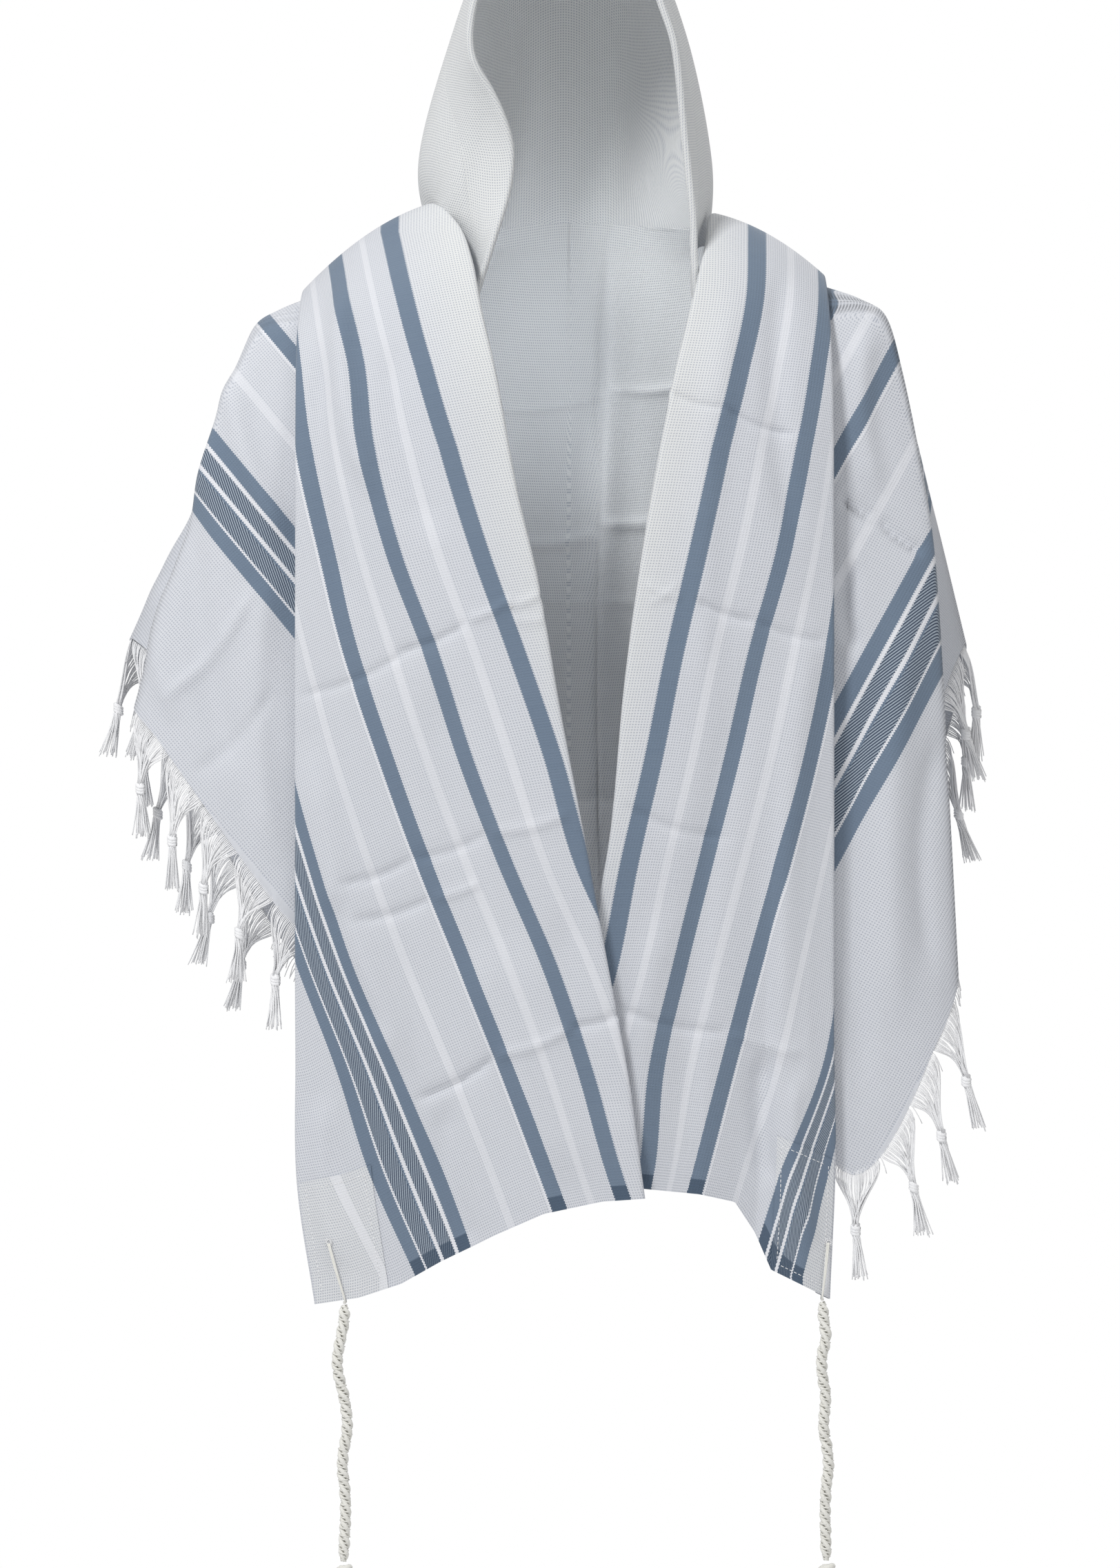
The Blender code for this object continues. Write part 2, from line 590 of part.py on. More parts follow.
def add_tube(name, route, diameter, material, collection):
    curve = bpy.data.curves.new(name, "CURVE")
    curve.dimensions = "3D"
    curve.bevel_depth = diameter / 2
    curve.bevel_resolution = 2
    curve.use_fill_caps = True
    spline = curve.splines.new("POLY")
    spline.points.add(len(route) - 1)
    for point, place in zip(spline.points, route):
        point.co = (*place, 1)
    tube = bpy.data.objects.new(name, curve)
    tube.data.materials.append(material)
    collection.objects.link(tube)
    return tube


def nearest_depth(grid, x, z):
    """The sheet's y at the grid point nearest to (x, z)."""
    flat = grid.reshape(-1, 3)
    gaps = np.hypot(flat[:, 0] - x, flat[:, 2] - z)
    near = np.argsort(gaps)[:4]
    weights = 1 / (gaps[near] + 1e-4)
    return float((flat[near, 1] * weights).sum() / weights.sum())


def add_corner(corner, grid, outside, cloth_low, cream, collection):
    """The strings, the braid and its end knot. outside is -1 on the front, 1 on the back."""
    off = CLOTH / 2 + PATCH + 2 * SEAM + STRING_D / 2 + STRING_GAP
    behind = off + (2 * FOLD_R + CLOTH / 2 if outside < 0 else 0)
    (eye_x, eye_z), (hem_x, hem_z) = corner.eyelet, corner.hem
    eye_y, hem_y = nearest_depth(grid, eye_x, eye_z), nearest_depth(grid, hem_x, hem_z)
    low = cloth_low - STRING_D / 2 - STRING_GAP
    route = [
        (eye_x, eye_y + outside * off, eye_z),
        ((eye_x + hem_x) / 2, (eye_y + hem_y) / 2 + outside * (off + STRING_BOW), (eye_z + hem_z) / 2),
        (hem_x, hem_y + outside * off, low + STRING_TURN),
        (hem_x, hem_y + outside * off * 0.6, low + STRING_TURN * 0.15),
        (hem_x, hem_y, low),
        (hem_x, hem_y - outside * behind * 0.6, low + STRING_TURN * 0.15),
        (hem_x, hem_y - outside * behind, low + STRING_TURN),
        (eye_x, eye_y - outside * behind, eye_z),
    ]
    add_tube("strings_" + corner.name, route, STRING_D, cream, collection)
    start = (hem_x, hem_y, low - STRING_D / 2 - SEAM)
    points = [start, (hem_x, hem_y, start[2] - BRAID_NECK)]
    points += [(x, hem_y + outside * BRAID_STANDS_OUT, z) for x, z in corner.braid]
    points = np.array(points, float)
    lengths = np.concatenate([[0], np.cumsum(np.linalg.norm(np.diff(points, axis=0), axis=1))])
    count = int(lengths[-1] / BRAID_STEP) + 1
    places = np.interp(np.linspace(0, lengths[-1], count), lengths, np.arange(len(points)))
    braid = smooth(points, places)
    add_tube("braid_" + corner.name, braid, BRAID_D, cream, collection)
    bpy.ops.mesh.primitive_uv_sphere_add(segments=8, ring_count=5, radius=END_KNOT_R)
    knot = bpy.context.object
    knot.name = knot.data.name = "braid_knot_" + corner.name
    knot.location = (braid[-1][0], braid[-1][1], braid[-1][2] - END_KNOT_R - SEAM)
    knot.data.materials.append(cream)
    knot.data.shade_smooth()
    for owner in list(knot.users_collection):
        owner.objects.unlink(knot)
    collection.objects.link(knot)


def build():
    clear_scene()
    shawl = new_collection("prayer_shawl")
    helpers = new_collection("helpers", hidden=True)
    white = new_material("woven_wool_white", WHITE, 0.85)
    warm = new_material("woven_wool_warm_white", WARM_WHITE, 0.85)
    cream = new_material("braided_cord_cream", CREAM, 0.8)

    add_sheet("hood", hood_sheet(), warm, shawl)
    back = back_rows()
    back[0, :, 2] -= JOIN
    back[0, [0, -1], 0] += (-NAPE_SPREAD, NAPE_SPREAD)
    add_sheet("back", back, white, shawl)

    sides = (
        ("left", LEFT_FRONT, LEFT_HEM, LEFT_SLEEVE, LEFT_TASSELS),
        ("right", RIGHT_FRONT, RIGHT_HEM, RIGHT_SLEEVE, RIGHT_TASSELS),
    )
    hem_grids = {}
    for name, sections, hem, folds, tassels in sides:
        sheet, middle, normals = front_sheet(sections, hem)
        add_sheet(name + "_front", sheet, white, shawl)
        sleeve = sleeve_grid(folds, sections, hem, back[:, 0 if name == "left" else -1])
        add_sheet(name + "_sleeve", sleeve, white, shawl)
        add_fringe(name + "_fringe", sleeve, tassels, white, shawl, helpers)
        raised = middle + normals * (CLOTH / 2 + SEAM + PATCH / 2)
        patch = raised[-PATCH_ROWS:, -PATCH_COLUMNS:]
        add_sheet("patch_front_" + name, patch, warm, shawl, PATCH)
        hem_grids["front_" + name] = middle
    back_normals = grid_normals(back, (0, 1, 0))
    raised = back + back_normals * (CLOTH / 2 + SEAM + PATCH / 2)
    add_sheet("patch_back_left", raised[-3:, 1:4], warm, shawl, PATCH)
    add_sheet("patch_back_right", raised[-3:, -4:-1], warm, shawl, PATCH)
    hem_grids["back_left"] = hem_grids["back_right"] = back

    for corner in CORNERS:
        grid = hem_grids[corner.name]
        hem_line = grid[-1][np.argsort(grid[-1, :, 0])]
        places = corner.hem[0] + np.linspace(-HEM_REACH_OF_STRINGS, HEM_REACH_OF_STRINGS, 5)
        lowest = np.interp(places, hem_line[:, 0], hem_line[:, 2]).min()
        outside = -1 if corner.name.startswith("front") else 1
        add_corner(corner, grid, outside, float(lowest), cream, shawl)


build()
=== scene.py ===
"""The looks of a large woven prayer shawl, worn over the head and both shoulders.

Each stretch of cloth is a thin shell on its solid's form. Its points come from the same tables of sections
as the solid, finer, and carry cloth coordinates: the distance from the fringed end, and along the stripes.
"""

import math
from collections import namedtuple

import bpy
import numpy as np
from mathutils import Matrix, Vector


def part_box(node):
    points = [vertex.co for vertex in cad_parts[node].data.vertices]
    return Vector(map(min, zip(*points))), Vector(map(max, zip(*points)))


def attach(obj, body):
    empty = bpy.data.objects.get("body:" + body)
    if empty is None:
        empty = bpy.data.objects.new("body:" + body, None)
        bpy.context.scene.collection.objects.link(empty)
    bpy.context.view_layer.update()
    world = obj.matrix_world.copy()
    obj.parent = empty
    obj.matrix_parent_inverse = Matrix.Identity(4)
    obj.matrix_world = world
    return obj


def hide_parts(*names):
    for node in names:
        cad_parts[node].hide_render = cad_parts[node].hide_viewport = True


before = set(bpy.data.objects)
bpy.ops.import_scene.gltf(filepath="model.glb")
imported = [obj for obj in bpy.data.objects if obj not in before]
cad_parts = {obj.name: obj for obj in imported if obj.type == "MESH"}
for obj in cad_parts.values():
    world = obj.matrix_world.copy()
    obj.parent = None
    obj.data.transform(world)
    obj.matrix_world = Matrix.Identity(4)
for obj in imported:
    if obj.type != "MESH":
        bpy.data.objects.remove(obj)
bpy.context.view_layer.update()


def table(columns, *rows):
    return tuple(columns(*row) for row in rows)


def millimetres(columns, *rows):
    """A table whose rows are written in millimetres, kept in metres."""
    return table(columns, *([value / 1000 for value in row] for row in rows))


# Walls, folds and joins, as in the solids
CLOTH = 0.002
PATCH = 0.001
SEAM = 0.0004
JOIN = 0.0007
NAPE_SPREAD = 0.004
NAPE_OVERLAP = 0.003
SHOULDER_OVERLAP = 0.004
LAPEL_LIES = 0.0014
FOLD_R = 0.003
OUTWARD = (0, -0.4, 1)
OPENING_TURN = 0.025
SIDE_TURN = 0.028
SIDE_TURN_AT_HEM = 0.010
SIDE_NARROWS_FROM = 0.8
UNDER_PANEL = 0.0175
HOLD_AT = 0.88
HOLD_STEP = 0.05
SLEEVE_ROUNDNESS = 0.6
SHELL = 0.0009

# Directions
DOWN = np.array((0, 0, -1.0))
LEVEL = np.array((1, 1, 0))
BACKWARD = (0, 1, 0)
THIRDS = (0, 120, 240)

# How finely the shells are divided
FRONT_DOWN = 380
FRONT_ACROSS = 96
TURN_COLUMNS = 5
FOLD_ANGLES = tuple(range(30, 181, 30))
HOOD_AROUND = 150
HOOD_BACK = 96
LAPEL_STEPS = 14
BACK_DOWN = 210
BACK_ACROSS = 140
SLEEVE_AROUND = 160
SLEEVE_DOWN = 150
FIELD_ROWS = 60
FIELD_COLUMNS = 46
FIELD_ROUNDS = 160

# The weave, in the cloth's own sizes
WEAVE_PITCH = 0.0024
HATCH_PITCH = 0.00208
HATCH_SLANT = math.radians(22)
HEM_DEPTH = 0.013
STITCHED_EDGE = 0.00036
SLUB_WANDER = 0.0006
SLUBS_ACROSS = (900, 14, 1)
SLUBS_ALONG = (14, 900, 1)
CLOUDS = (9, 9, 1)
CENTRE_FROM = 0.475
CENTRE_SOFT = 0.06
HOLE_EDGE, HOLE_SOFT = 0.42, 0.5
HATCH_EDGE, HATCH_SOFT = 0.50, 0.60
HEM_SOFT = 0.0008
RELIEF = 0.00045

# Colours of the cloth
THREAD_GREY = (0.60, 0.62, 0.67, 1)
THREAD_WHITE = (0.76, 0.775, 0.81, 1)
THREAD_WARM = (0.78, 0.79, 0.775, 1)
HOLE_DARK = (0.36, 0.39, 0.46, 1)
HOLE_LIGHT = (0.47, 0.495, 0.55, 1)
SATIN = (0.80, 0.81, 0.85, 1)
BLUE_DARK = (0.125, 0.175, 0.250, 1)
BLUE_LIGHT = (0.185, 0.240, 0.315, 1)
BLUE_FLECK = (0.30, 0.37, 0.46, 1)
HATCH_LIGHT = (0.36, 0.42, 0.49, 1)
HATCH_DARK = (0.038, 0.058, 0.100, 1)
HEM_BLUE = (0.045, 0.075, 0.120, 1)

# Colours of the fringe's yarn and the braids' cord, and the pitch of their fibres
YARN_LIGHT = (0.95, 0.95, 0.96, 1)
YARN_DARK = (0.86, 0.865, 0.88, 1)
YARN_PITCH = 0.0012
CORD_LIGHT = (0.91, 0.905, 0.87, 1)
CORD_DARK = (0.74, 0.73, 0.67, 1)
CORD_PITCH = 0.0014
FIBRE_RELIEF = 0.0006

# How each kind of band is marked on the ramp: blue yarn in its red channel, hatching in its green one, and
# how white and filled the cloth is in its blue one. The range is the length of cloth that the ramp covers.
BAND_RANGE = 0.5
KIND_COLOURS = {
    "blue": (1, 0, 0, 1),
    "hatch": (0, 1, 0, 1),
    "satin": (0, 0, 0.50, 1),
    "white": (0, 0, 0.95, 1),
    "broad": (0, 0, 0.7, 1),
    "plain": (0, 0, 0, 1),
}

# The pattern woven into each half, measured from its fringed end towards the centre of the cloth
Band = namedtuple("Band", "start end kind")
BANDS = table(
    Band,
    (0.143, 0.1572, "blue"),
    (0.1572, 0.1594, "white"),
    (0.1594, 0.1742, "hatch"),
    (0.1742, 0.1754, "white"),
    (0.1754, 0.1762, "blue"),
    (0.1762, 0.1784, "white"),
    (0.1784, 0.1792, "blue"),
    (0.1792, 0.1804, "white"),
    (0.1804, 0.1952, "hatch"),
    (0.1952, 0.1974, "white"),
    (0.1974, 0.2116, "blue"),
    (0.254, 0.262, "satin"),
    (0.3021, 0.303, "white"),
    (0.303, 0.3175, "blue"),
    (0.342, 0.35, "satin"),
    (0.3731, 0.374, "white"),
    (0.374, 0.3885, "blue"),
    (0.413, 0.421, "satin"),
    (0.4441, 0.445, "white"),
    (0.445, 0.4595, "blue"),
)
PATCH_BANDS = (Band(0.1060, 0.1160, "broad"),) + BANDS
STRIPE_3, STRIPE_2, STRIPE_1 = 0.3103, 0.3813, 0.4523
STRIPE_HALF = 0.00725
BAND_OUT, BAND_IN = 0.1430, 0.2116

# Half a stripe's width measured level across a front panel, and across the back, where the cloth is gathered
FRONT_STRIPE_HALF = 0.0076
BACK_STRIPE_HALF = 0.0060

# A front panel, from behind the shoulder to the hem. The inner edge is the opening, the outer one the side.
FrontSection = namedtuple("FrontSection", "inner_x inner_y inner_z outer_x outer_y outer_z lift belly")
LEFT_FRONT = millimetres(
    FrontSection,
    (-146, 36, -288, -238, 40, -352, 4, 0),
    (-122, 7, -261.5, -239, 8, -342, 10, 2),
    (-98, -30, -281, -241, -30, -358, 10, 4),
    (-85, -66, -315, -242.5, -62, -392, 8, 6),
    (-76, -92, -362, -242.5, -80, -440, 4, 8),
    (-62, -112, -425, -242.5, -90, -500, 2, 10),
    (-45, -124, -520, -242.5, -95, -590, 0, 10),
    (-26, -130, -603, -242.5, -97, -690, 0, 9),
    (-8, -133, -710, -242.5, -98, -800, 0, 8),
    (12, -135, -816, -242.5, -98, -910, 0, 7),
    (32, -135, -925, -242, -98, -1020, 0, 6),
    (52, -135, -1034, -241, -99, -1130, 0, 6),
    (67, -134, -1142, -225, -102, -1238, 0, 6),
)
RIGHT_FRONT = millimetres(
    FrontSection,
    (150, 36, -292, 230, 40, -338, 4, 0),
    (126.5, 10, -270, 230, 8, -328.5, 8, 2),
    (120.6, -30, -297, 232, -30, -350, 8, 4),
    (112, -64, -335, 233.5, -60, -390, 5, 5),
    (100, -88, -385, 234.5, -78, -440, 2, 6),
    (90, -104, -428, 234.5, -88, -500, 0, 7),
    (73.5, -112, -515, 234.5, -92, -590, 0, 7),
    (59.4, -116, -603, 234.5, -94, -690, 0, 6),
    (47, -118, -700, 234.5, -95, -790, 0, 5),
    (36.4, -119, -816, 234.5, -95, -890, 0, 4),
    (22, -119, -905, 234.5, -95, -1000, 0, 3),
    (8, -119, -1020, 236, -96, -1110, 0, 3),
    (-3, -118, -1135, 231, -98, -1233, 0, 3),
)

# How far each hem leaves the straight line between its corners, and how far the cloth stands out there
HemPoint = namedtuple("HemPoint", "across rise out")
LEFT_HEM = table(
    HemPoint,
    (0, 0, 0),
    (0.12, 0.009, 0.002),
    (0.3, 0.015, 0.004),
    (0.45, 0.01, -0.002),
    (0.62, 0.002, -0.005),
    (0.74, -0.006, 0.001),
    (0.87, -0.006, 0.006),
    (1, 0, 0),
)
RIGHT_HEM = table(
    HemPoint,
    (0, 0, 0),
    (0.25, 0.026, 0.002),
    (0.5, 0.044, 0.001),
    (0.64, 0.05, -0.007),
    (0.72, 0.03, -0.009),
    (0.78, 0.004, 0.001),
    (0.9, 0.002, 0.006),
    (1, 0, 0),
)
HEM_REACH = 0.34

# Where the stripes run: at each height, the x of the band's two edges and of the three stripes
StripeRow = namedtuple("StripeRow", "z band_out band_in stripe_3 stripe_2 stripe_1")
LEFT_STRIPES = millimetres(
    StripeRow,
    (-290, -387, -334, -259, -213, -160),
    (-350, -373, -320, -251, -201, -146),
    (-412, -365, -309, -244, -187, -129),
    (-485, -357, -300, -235, -178, -107),
    (-576, -341, -286, -215, -155, -79),
    (-667, -320, -266, -192, -121, -46),
    (-757, -300, -247, -162, -92, -15),
    (-848, -272, -221, -129, -57, 11),
    (-939, -241, -191, -92, -18, 52),
    (-1030, -206, -151, -55, 13, 86),
    (-1121, -177, -112, -21, 39, 114),
    (-1212, -136, -78, 12, 72, 146),
)
RIGHT_STRIPES = millimetres(
    StripeRow,
    (-290, 393, 342, 282, 228, 168),
    (-351, 393, 340, 276, 228, 165),
    (-412, 384, 331, 273, 220, 152),
    (-485, 376, 320, 258, 207, 134),
    (-576, 362, 306, 246, 189, 114),
    (-667, 345, 288, 232, 164, 93),
    (-757, 324, 270, 213, 144, 75),
    (-848, 300, 256, 189, 121, 54),
    (-939, 276, 240, 164, 98, 36),
    (-1030, 254, 223, 140, 77, 10),
    (-1121, 229, 187, 116, 68, -10),
    (-1212, 206, 158, 90, 46, -30),
)

LEFT_BACK_STRIPES = millimetres(
    StripeRow,
    (-290, -400, -335, -259, -213, -160),
    (-400, -370, -306, -238, -190, -142),
    (-520, -335, -275, -212, -166, -122),
    (-640, -297, -243, -186, -143, -102),
    (-760, -258, -210, -160, -119, -81),
    (-880, -222, -176, -132, -94, -57),
    (-1000, -188, -142, -103, -67, -32),
)
RIGHT_BACK_STRIPES = millimetres(
    StripeRow,
    (-290, 400, 345, 282, 228, 168),
    (-400, 370, 310, 248, 198, 146),
    (-520, 335, 276, 214, 168, 122),
    (-640, 297, 243, 186, 143, 102),
    (-760, 258, 210, 160, 119, 81),
    (-880, 222, 176, 132, 94, 57),
    (-1000, 188, 142, 103, 67, 32),
)

# On a sleeve drape: the way across the stripes in x and z, how far along it from the fringed edge the band's
# edges and the third stripe lie, the last fold whose stripes go straight on from the front, and how fast the
# pattern goes by beside the back, where the hem's corner is
SleeveStripes = namedtuple(
    "SleeveStripes", "across_x across_z band_out band_in stripe_3 straight_to rear_rate"
)
LEFT_SLEEVE_STRIPES = SleeveStripes(0.770, 0.637, 0.1525, 0.2157, 0.3115, 7, 0.60)
RIGHT_SLEEVE_STRIPES = SleeveStripes(-0.875, 0.485, 0.152, 0.224, 0.327, 4, 0.74)
REAR_FOLD = 8
WRAP_FOLDS = 2.5
BACK_CORNER = 0.10

# The hood, from the rim round the face to the nape. Each arch runs foot, chin, temple, brow, crown and down.
HoodArch = namedtuple(
    "HoodArch",
    "foot_left foot_right foot_y foot_z chin_left chin_right chin_y chin_z "
    "temple temple_y temple_z crown_y crown_z",
)
HOOD = millimetres(
    HoodArch,
    (-86, 112, -47, -372, -51.5, 100, -50, -224, 84, -70, -115, -88, -4),
    (-80, 108, -26, -335, -104, 113, -20, -224, 97, -30, -112, -45, 0),
    (-98, 112, 4, -305, -128, 124, 12, -224, 104, 15, -112, 0, 1),
    (-122, 124, 42, -298, -134, 127, 45, -224, 100, 58, -115, 50, -8),
    (-121, 122, 60, -290, -124, 120, 66, -232, 88, 90, -140, 92, -45),
    (-120, 121, 69, -286, -112, 110, 80, -250, 76, 103, -190, 109, -120),
    (-120, 121, 76, -283, -102, 102, 90, -280, 70, 104, -277, 111, -274),
)
BROW_SHARE = 0.62
BROW_DROP = 0.25
LAPEL = (0.008, 0.040, 0.060, 0.056, 0.048, 0.042, 0.036, 0.030, 0.025, 0.018, 0.008)

# The back, from the nape to the hem. The side is where it meets the shoulders and then the sleeve drapes.
BackSection = namedtuple("BackSection", "left_x left_y left_z right_x right_y right_z middle_y middle_z")
BACK = millimetres(
    BackSection,
    (-147.5, 37.5, -291, 151.5, 37.5, -295, 112.5, -297),
    (-192, 40.5, -321.5, 190, 40.5, -317.5, 113, -312),
    (-238, 42.5, -354.5, 230, 42.5, -340.5, 114, -340),
    (-240, 76, -396, 234, 76, -388, 116, -385),
    (-240, 94, -450, 236, 94, -445, 118, -445),
    (-240, 104, -520, 237, 104, -520, 119, -520),
    (-240, 111, -610, 237, 111, -610, 119, -615),
    (-239, 117, -710, 236, 117, -710, 119, -720),
    (-236, 120, -830, 233, 120, -830, 120, -850),
    (-228, 122, -965, 226, 122, -965, 120, -1000),
)
BackFold = namedtuple("BackFold", "top_x hem_x width depth")
BACK_FOLDS = millimetres(
    BackFold,
    (-165, -175, 22, 11),
    (-95, -105, 26, -9),
    (-30, -40, 24, 10),
    (36, 26, 17, -18),
    (98, 104, 24, 12),
    (168, 176, 22, -9),
)
FOLDS_START_Z = -0.30
SIDE_ROUNDING = 5
FOLDS_FULL_Z = -0.62
SOLID_HOOD_COLUMNS = 21
SOLID_BACK_ROWS = 15
SOLID_SLEEVE_ROWS = 21
SOLID_SLEEVE_COLUMNS = 10

# A sleeve drape, fold by fold from the front round the arm to the back
SleeveFold = namedtuple("SleeveFold", "hold top cap bend end")
LEFT_SLEEVE = table(
    SleeveFold,
    (5.4, None, 6.2, 8, 9.4),
    (4.7, None, (-0.237, -0.074, -0.54), (-0.249, -0.083, -0.72), (-0.254, -0.085, -0.892)),
    (4, None, (-0.252, -0.064, -0.46), (-0.279, -0.078, -0.62), (-0.315, -0.084, -0.808)),
    (3.2, None, (-0.262, -0.048, -0.41), (-0.304, -0.068, -0.545), (-0.364, -0.072, -0.739)),
    (2.5, None, (-0.275, -0.03, -0.381), (-0.3245, -0.052, -0.5), (-0.384, -0.056, -0.713)),
    (1.8, None, (-0.278, -0.012, -0.373), (-0.321, -0.03, -0.49), (-0.37, -0.03, -0.698)),
    (1.1, None, (-0.278, 0.004, -0.372), (-0.312, -0.002, -0.48), (-0.35, 0.002, -0.688)),
    (0.6, None, (-0.277, 0.02, -0.375), (-0.3265, 0.024, -0.505), (-0.391, 0.03, -0.65)),
    (0.15, None, (-0.272, 0.042, -0.385), (-0.318, 0.057, -0.52), (-0.372, 0.072, -0.7)),
    (0, (-0.2425, 0.056, -0.3735), (-0.259, 0.08, -0.43), (-0.284, 0.102, -0.62), (-0.31, 0.114, -0.84)),
)
RIGHT_SLEEVE = table(
    SleeveFold,
    (5.4, None, 6.8, 9, 10.9),
    (4.7, None, (0.231, -0.073, -0.6), (0.241, -0.082, -0.85), (0.249, -0.083, -1.124)),
    (4, None, (0.248, -0.064, -0.5), (0.266, -0.078, -0.75), (0.284, -0.081, -1.094)),
    (3.2, None, (0.264, -0.048, -0.42), (0.294, -0.068, -0.65), (0.318, -0.074, -1.022)),
    (2.5, None, (0.279, -0.03, -0.371), (0.3215, -0.05, -0.58), (0.3435, -0.056, -0.955)),
    (1.8, None, (0.281, -0.012, -0.366), (0.3185, -0.028, -0.56), (0.333, -0.03, -0.89)),
    (1.1, None, (0.28, 0.004, -0.364), (0.31, -0.002, -0.52), (0.318, 0.002, -0.76)),
    (0.6, None, (0.279, 0.02, -0.365), (0.321, 0.024, -0.52), (0.353, 0.03, -0.656)),
    (0.15, None, (0.275, 0.042, -0.376), (0.314, 0.057, -0.53), (0.345, 0.072, -0.715)),
    (0, (0.2355, 0.056, -0.362), (0.255, 0.08, -0.43), (0.28, 0.102, -0.62), (0.302, 0.114, -0.845)),
)

# Creases and soft folds: a slightly bowed line in x and z, the half width across it and its ridge's height
Crease = namedtuple("Crease", "x1 z1 x2 z2 width height")
LEFT_CREASES = millimetres(
    Crease,
    (-236, -702, -140, -662, 3, -1.2),
    (-150, -664, -91, -640, 2.5, -1.6),
    (-88, -636, -50, -617, 2.8, 1.2),
    (-55, -624, -26, -614, 3, 1),
    (-50, -636, -22, -636, 3.5, 0.7),
    (-202, -868, -138, -846, 3, -1.6),
    (-138, -846, -70, -822, 3, -1.2),
    (-70, -822, -1, -806, 3.5, 1.2),
    (-190, -900, -120, -880, 3.5, -1.5),
    (-120, -880, -79, -867, 3, 1.1),
    (-133, -1056, -64, -1018, 3.2, -2.2),
    (-64, -1018, 2, -993, 3, 1.5),
    (2, -993, 46, -980, 2.8, -1.6),
    (-200, -340, -176, -520, 11, 4.5),
    (-218, -400, -198, -620, 10, -3),
    (-158, -400, -120, -560, 13, -2.8),
    (-226, -760, -150, -1020, 16, 4),
    (-205, -880, -165, -1000, 12, -3.5),
    (-120, -700, -40, -940, 20, -2.8),
    (-80, -930, 0, -1120, 18, 3),
    (-110, -1060, -85, -1190, 13, -3.5),
    (-215, -1060, -200, -1200, 11, 3),
    (-10, -900, 40, -1070, 14, -2),
)
RIGHT_CREASES = millimetres(
    Crease,
    (90, -436, 137, -450, 2.6, -1.2),
    (137, -450, 198, -472, 3, -1.6),
    (112, -619, 164, -637, 2.8, -1.8),
    (164, -637, 226, -654, 3, -1.3),
    (68, -605, 98, -617, 2.8, 0.7),
    (70, -622, 96, -604, 2.8, 0.6),
    (50, -800, 140, -828, 3.5, -1.2),
    (40, -975, 140, -998, 3.5, -1.4),
    (140, -998, 205, -1016, 3, 1),
    (188, -330, 196, -560, 12, -2.6),
    (145, -350, 118, -700, 15, 2.4),
    (215, -640, 190, -1000, 15, 3.2),
    (150, -700, 100, -1100, 17, -3),
    (82, -900, 62, -1120, 15, 2.6),
    (170, -1020, 178, -1130, 10, -4),
    (200, -1040, 210, -1180, 9, 3),
)
LEFT_SLEEVE_CREASES = millimetres(
    Crease,
    (-354, -703, -279, -612, 4, 1.8),
    (-330, -770, -262, -700, 3.5, -1.2),
    (-300, -420, -252, -560, 12, 4),
    (-335, -520, -300, -760, 16, -4.5),
    (-268, -600, -262, -840, 13, 3),
    (-362, -600, -350, -720, 10, 2.5),
)
RIGHT_SLEEVE_CREASES = millimetres(
    Crease,
    (240, -528, 278, -550, 3.5, -1.8),
    (276, -549, 312, -576, 3.5, -2.6),
    (262, -380, 270, -520, 12, 3.5),
    (246, -590, 252, -660, 9, -4.5),
    (300, -640, 288, -980, 16, 4),
    (262, -700, 258, -1050, 13, -3.5),
    (325, -740, 318, -940, 11, -3),
)
BACK_CREASES = millimetres(
    Crease,
    (34, -312, 30, -900, 4.8, 3.4),
    (-75, -440, 32, -428, 3.5, -2),
    (36, -423, 105, -420, 3.5, -1.8),
    (-45, -562, 26, -556, 4, -2.4),
    (26, -545, 105, -536, 4, -2.2),
    (-180, -600, 190, -612, 4, -1.3),
    (-200, -775, 180, -790, 4, -1.4),
    (-60, -620, -72, -900, 12, 3),
    (130, -500, 140, -900, 14, -3),
    (-130, -420, -138, -800, 12, -2.8),
)
HOOD_CREASES = millimetres(
    Crease,
    (-118, -300, -80, -120, 12, 3),
    (112, -300, 82, -100, 10, 2.6),
    (-60, -280, -30, -60, 14, -2.6),
    (50, -270, 40, -50, 12, 2.2),
)
SHARP_WIDTH = 0.005
CREASE_BEND = 0.06
CREASE_BOW = 0.010
CREASE_REACH = 0.009
CREASE_ENDS = 0.25
CREASE_STARTS_AT = 0.35
SHARP_CREASES = 1.5
SOFT_FOLDS = 1.5

# Fringe
STRIP = 0.004
STRIP_GAP = 0.0009
TASSEL_PITCH = 0.053
FRINGE_DROP = 0.050
TAIL = 0.043
KNOT_R = 0.0046
LEAN_OUT = 0.40
LEAN_ASIDE = 0.10
TAIL_LEAN = 0.25
SEED = 11
LEFT_TASSELS = ((0.055, 5), (0.405, 7))
RIGHT_TASSELS = ((0.068, 4), (0.550, 7))
FAN_THREADS = 34
FAN_SCATTER = 0.0012
FAN_HALF = 0.0245
THREAD_R = 0.00056
TAIL_THREADS = 26
TAIL_SPREAD = 0.0082
TAIL_POINTS = 10
TAIL_TURN = 1.2
TWISTED_TO = 0.30
TAIL_CURL = 0.0020
KNOT_TURNS = 3
KNOT_RING = 0.66
KNOT_YARN = 0.36
STUB_PITCH = 0.0036
STUB_DROP = 0.012
STUB_SCATTER = 0.002
GOLDEN_TURN = 2.4

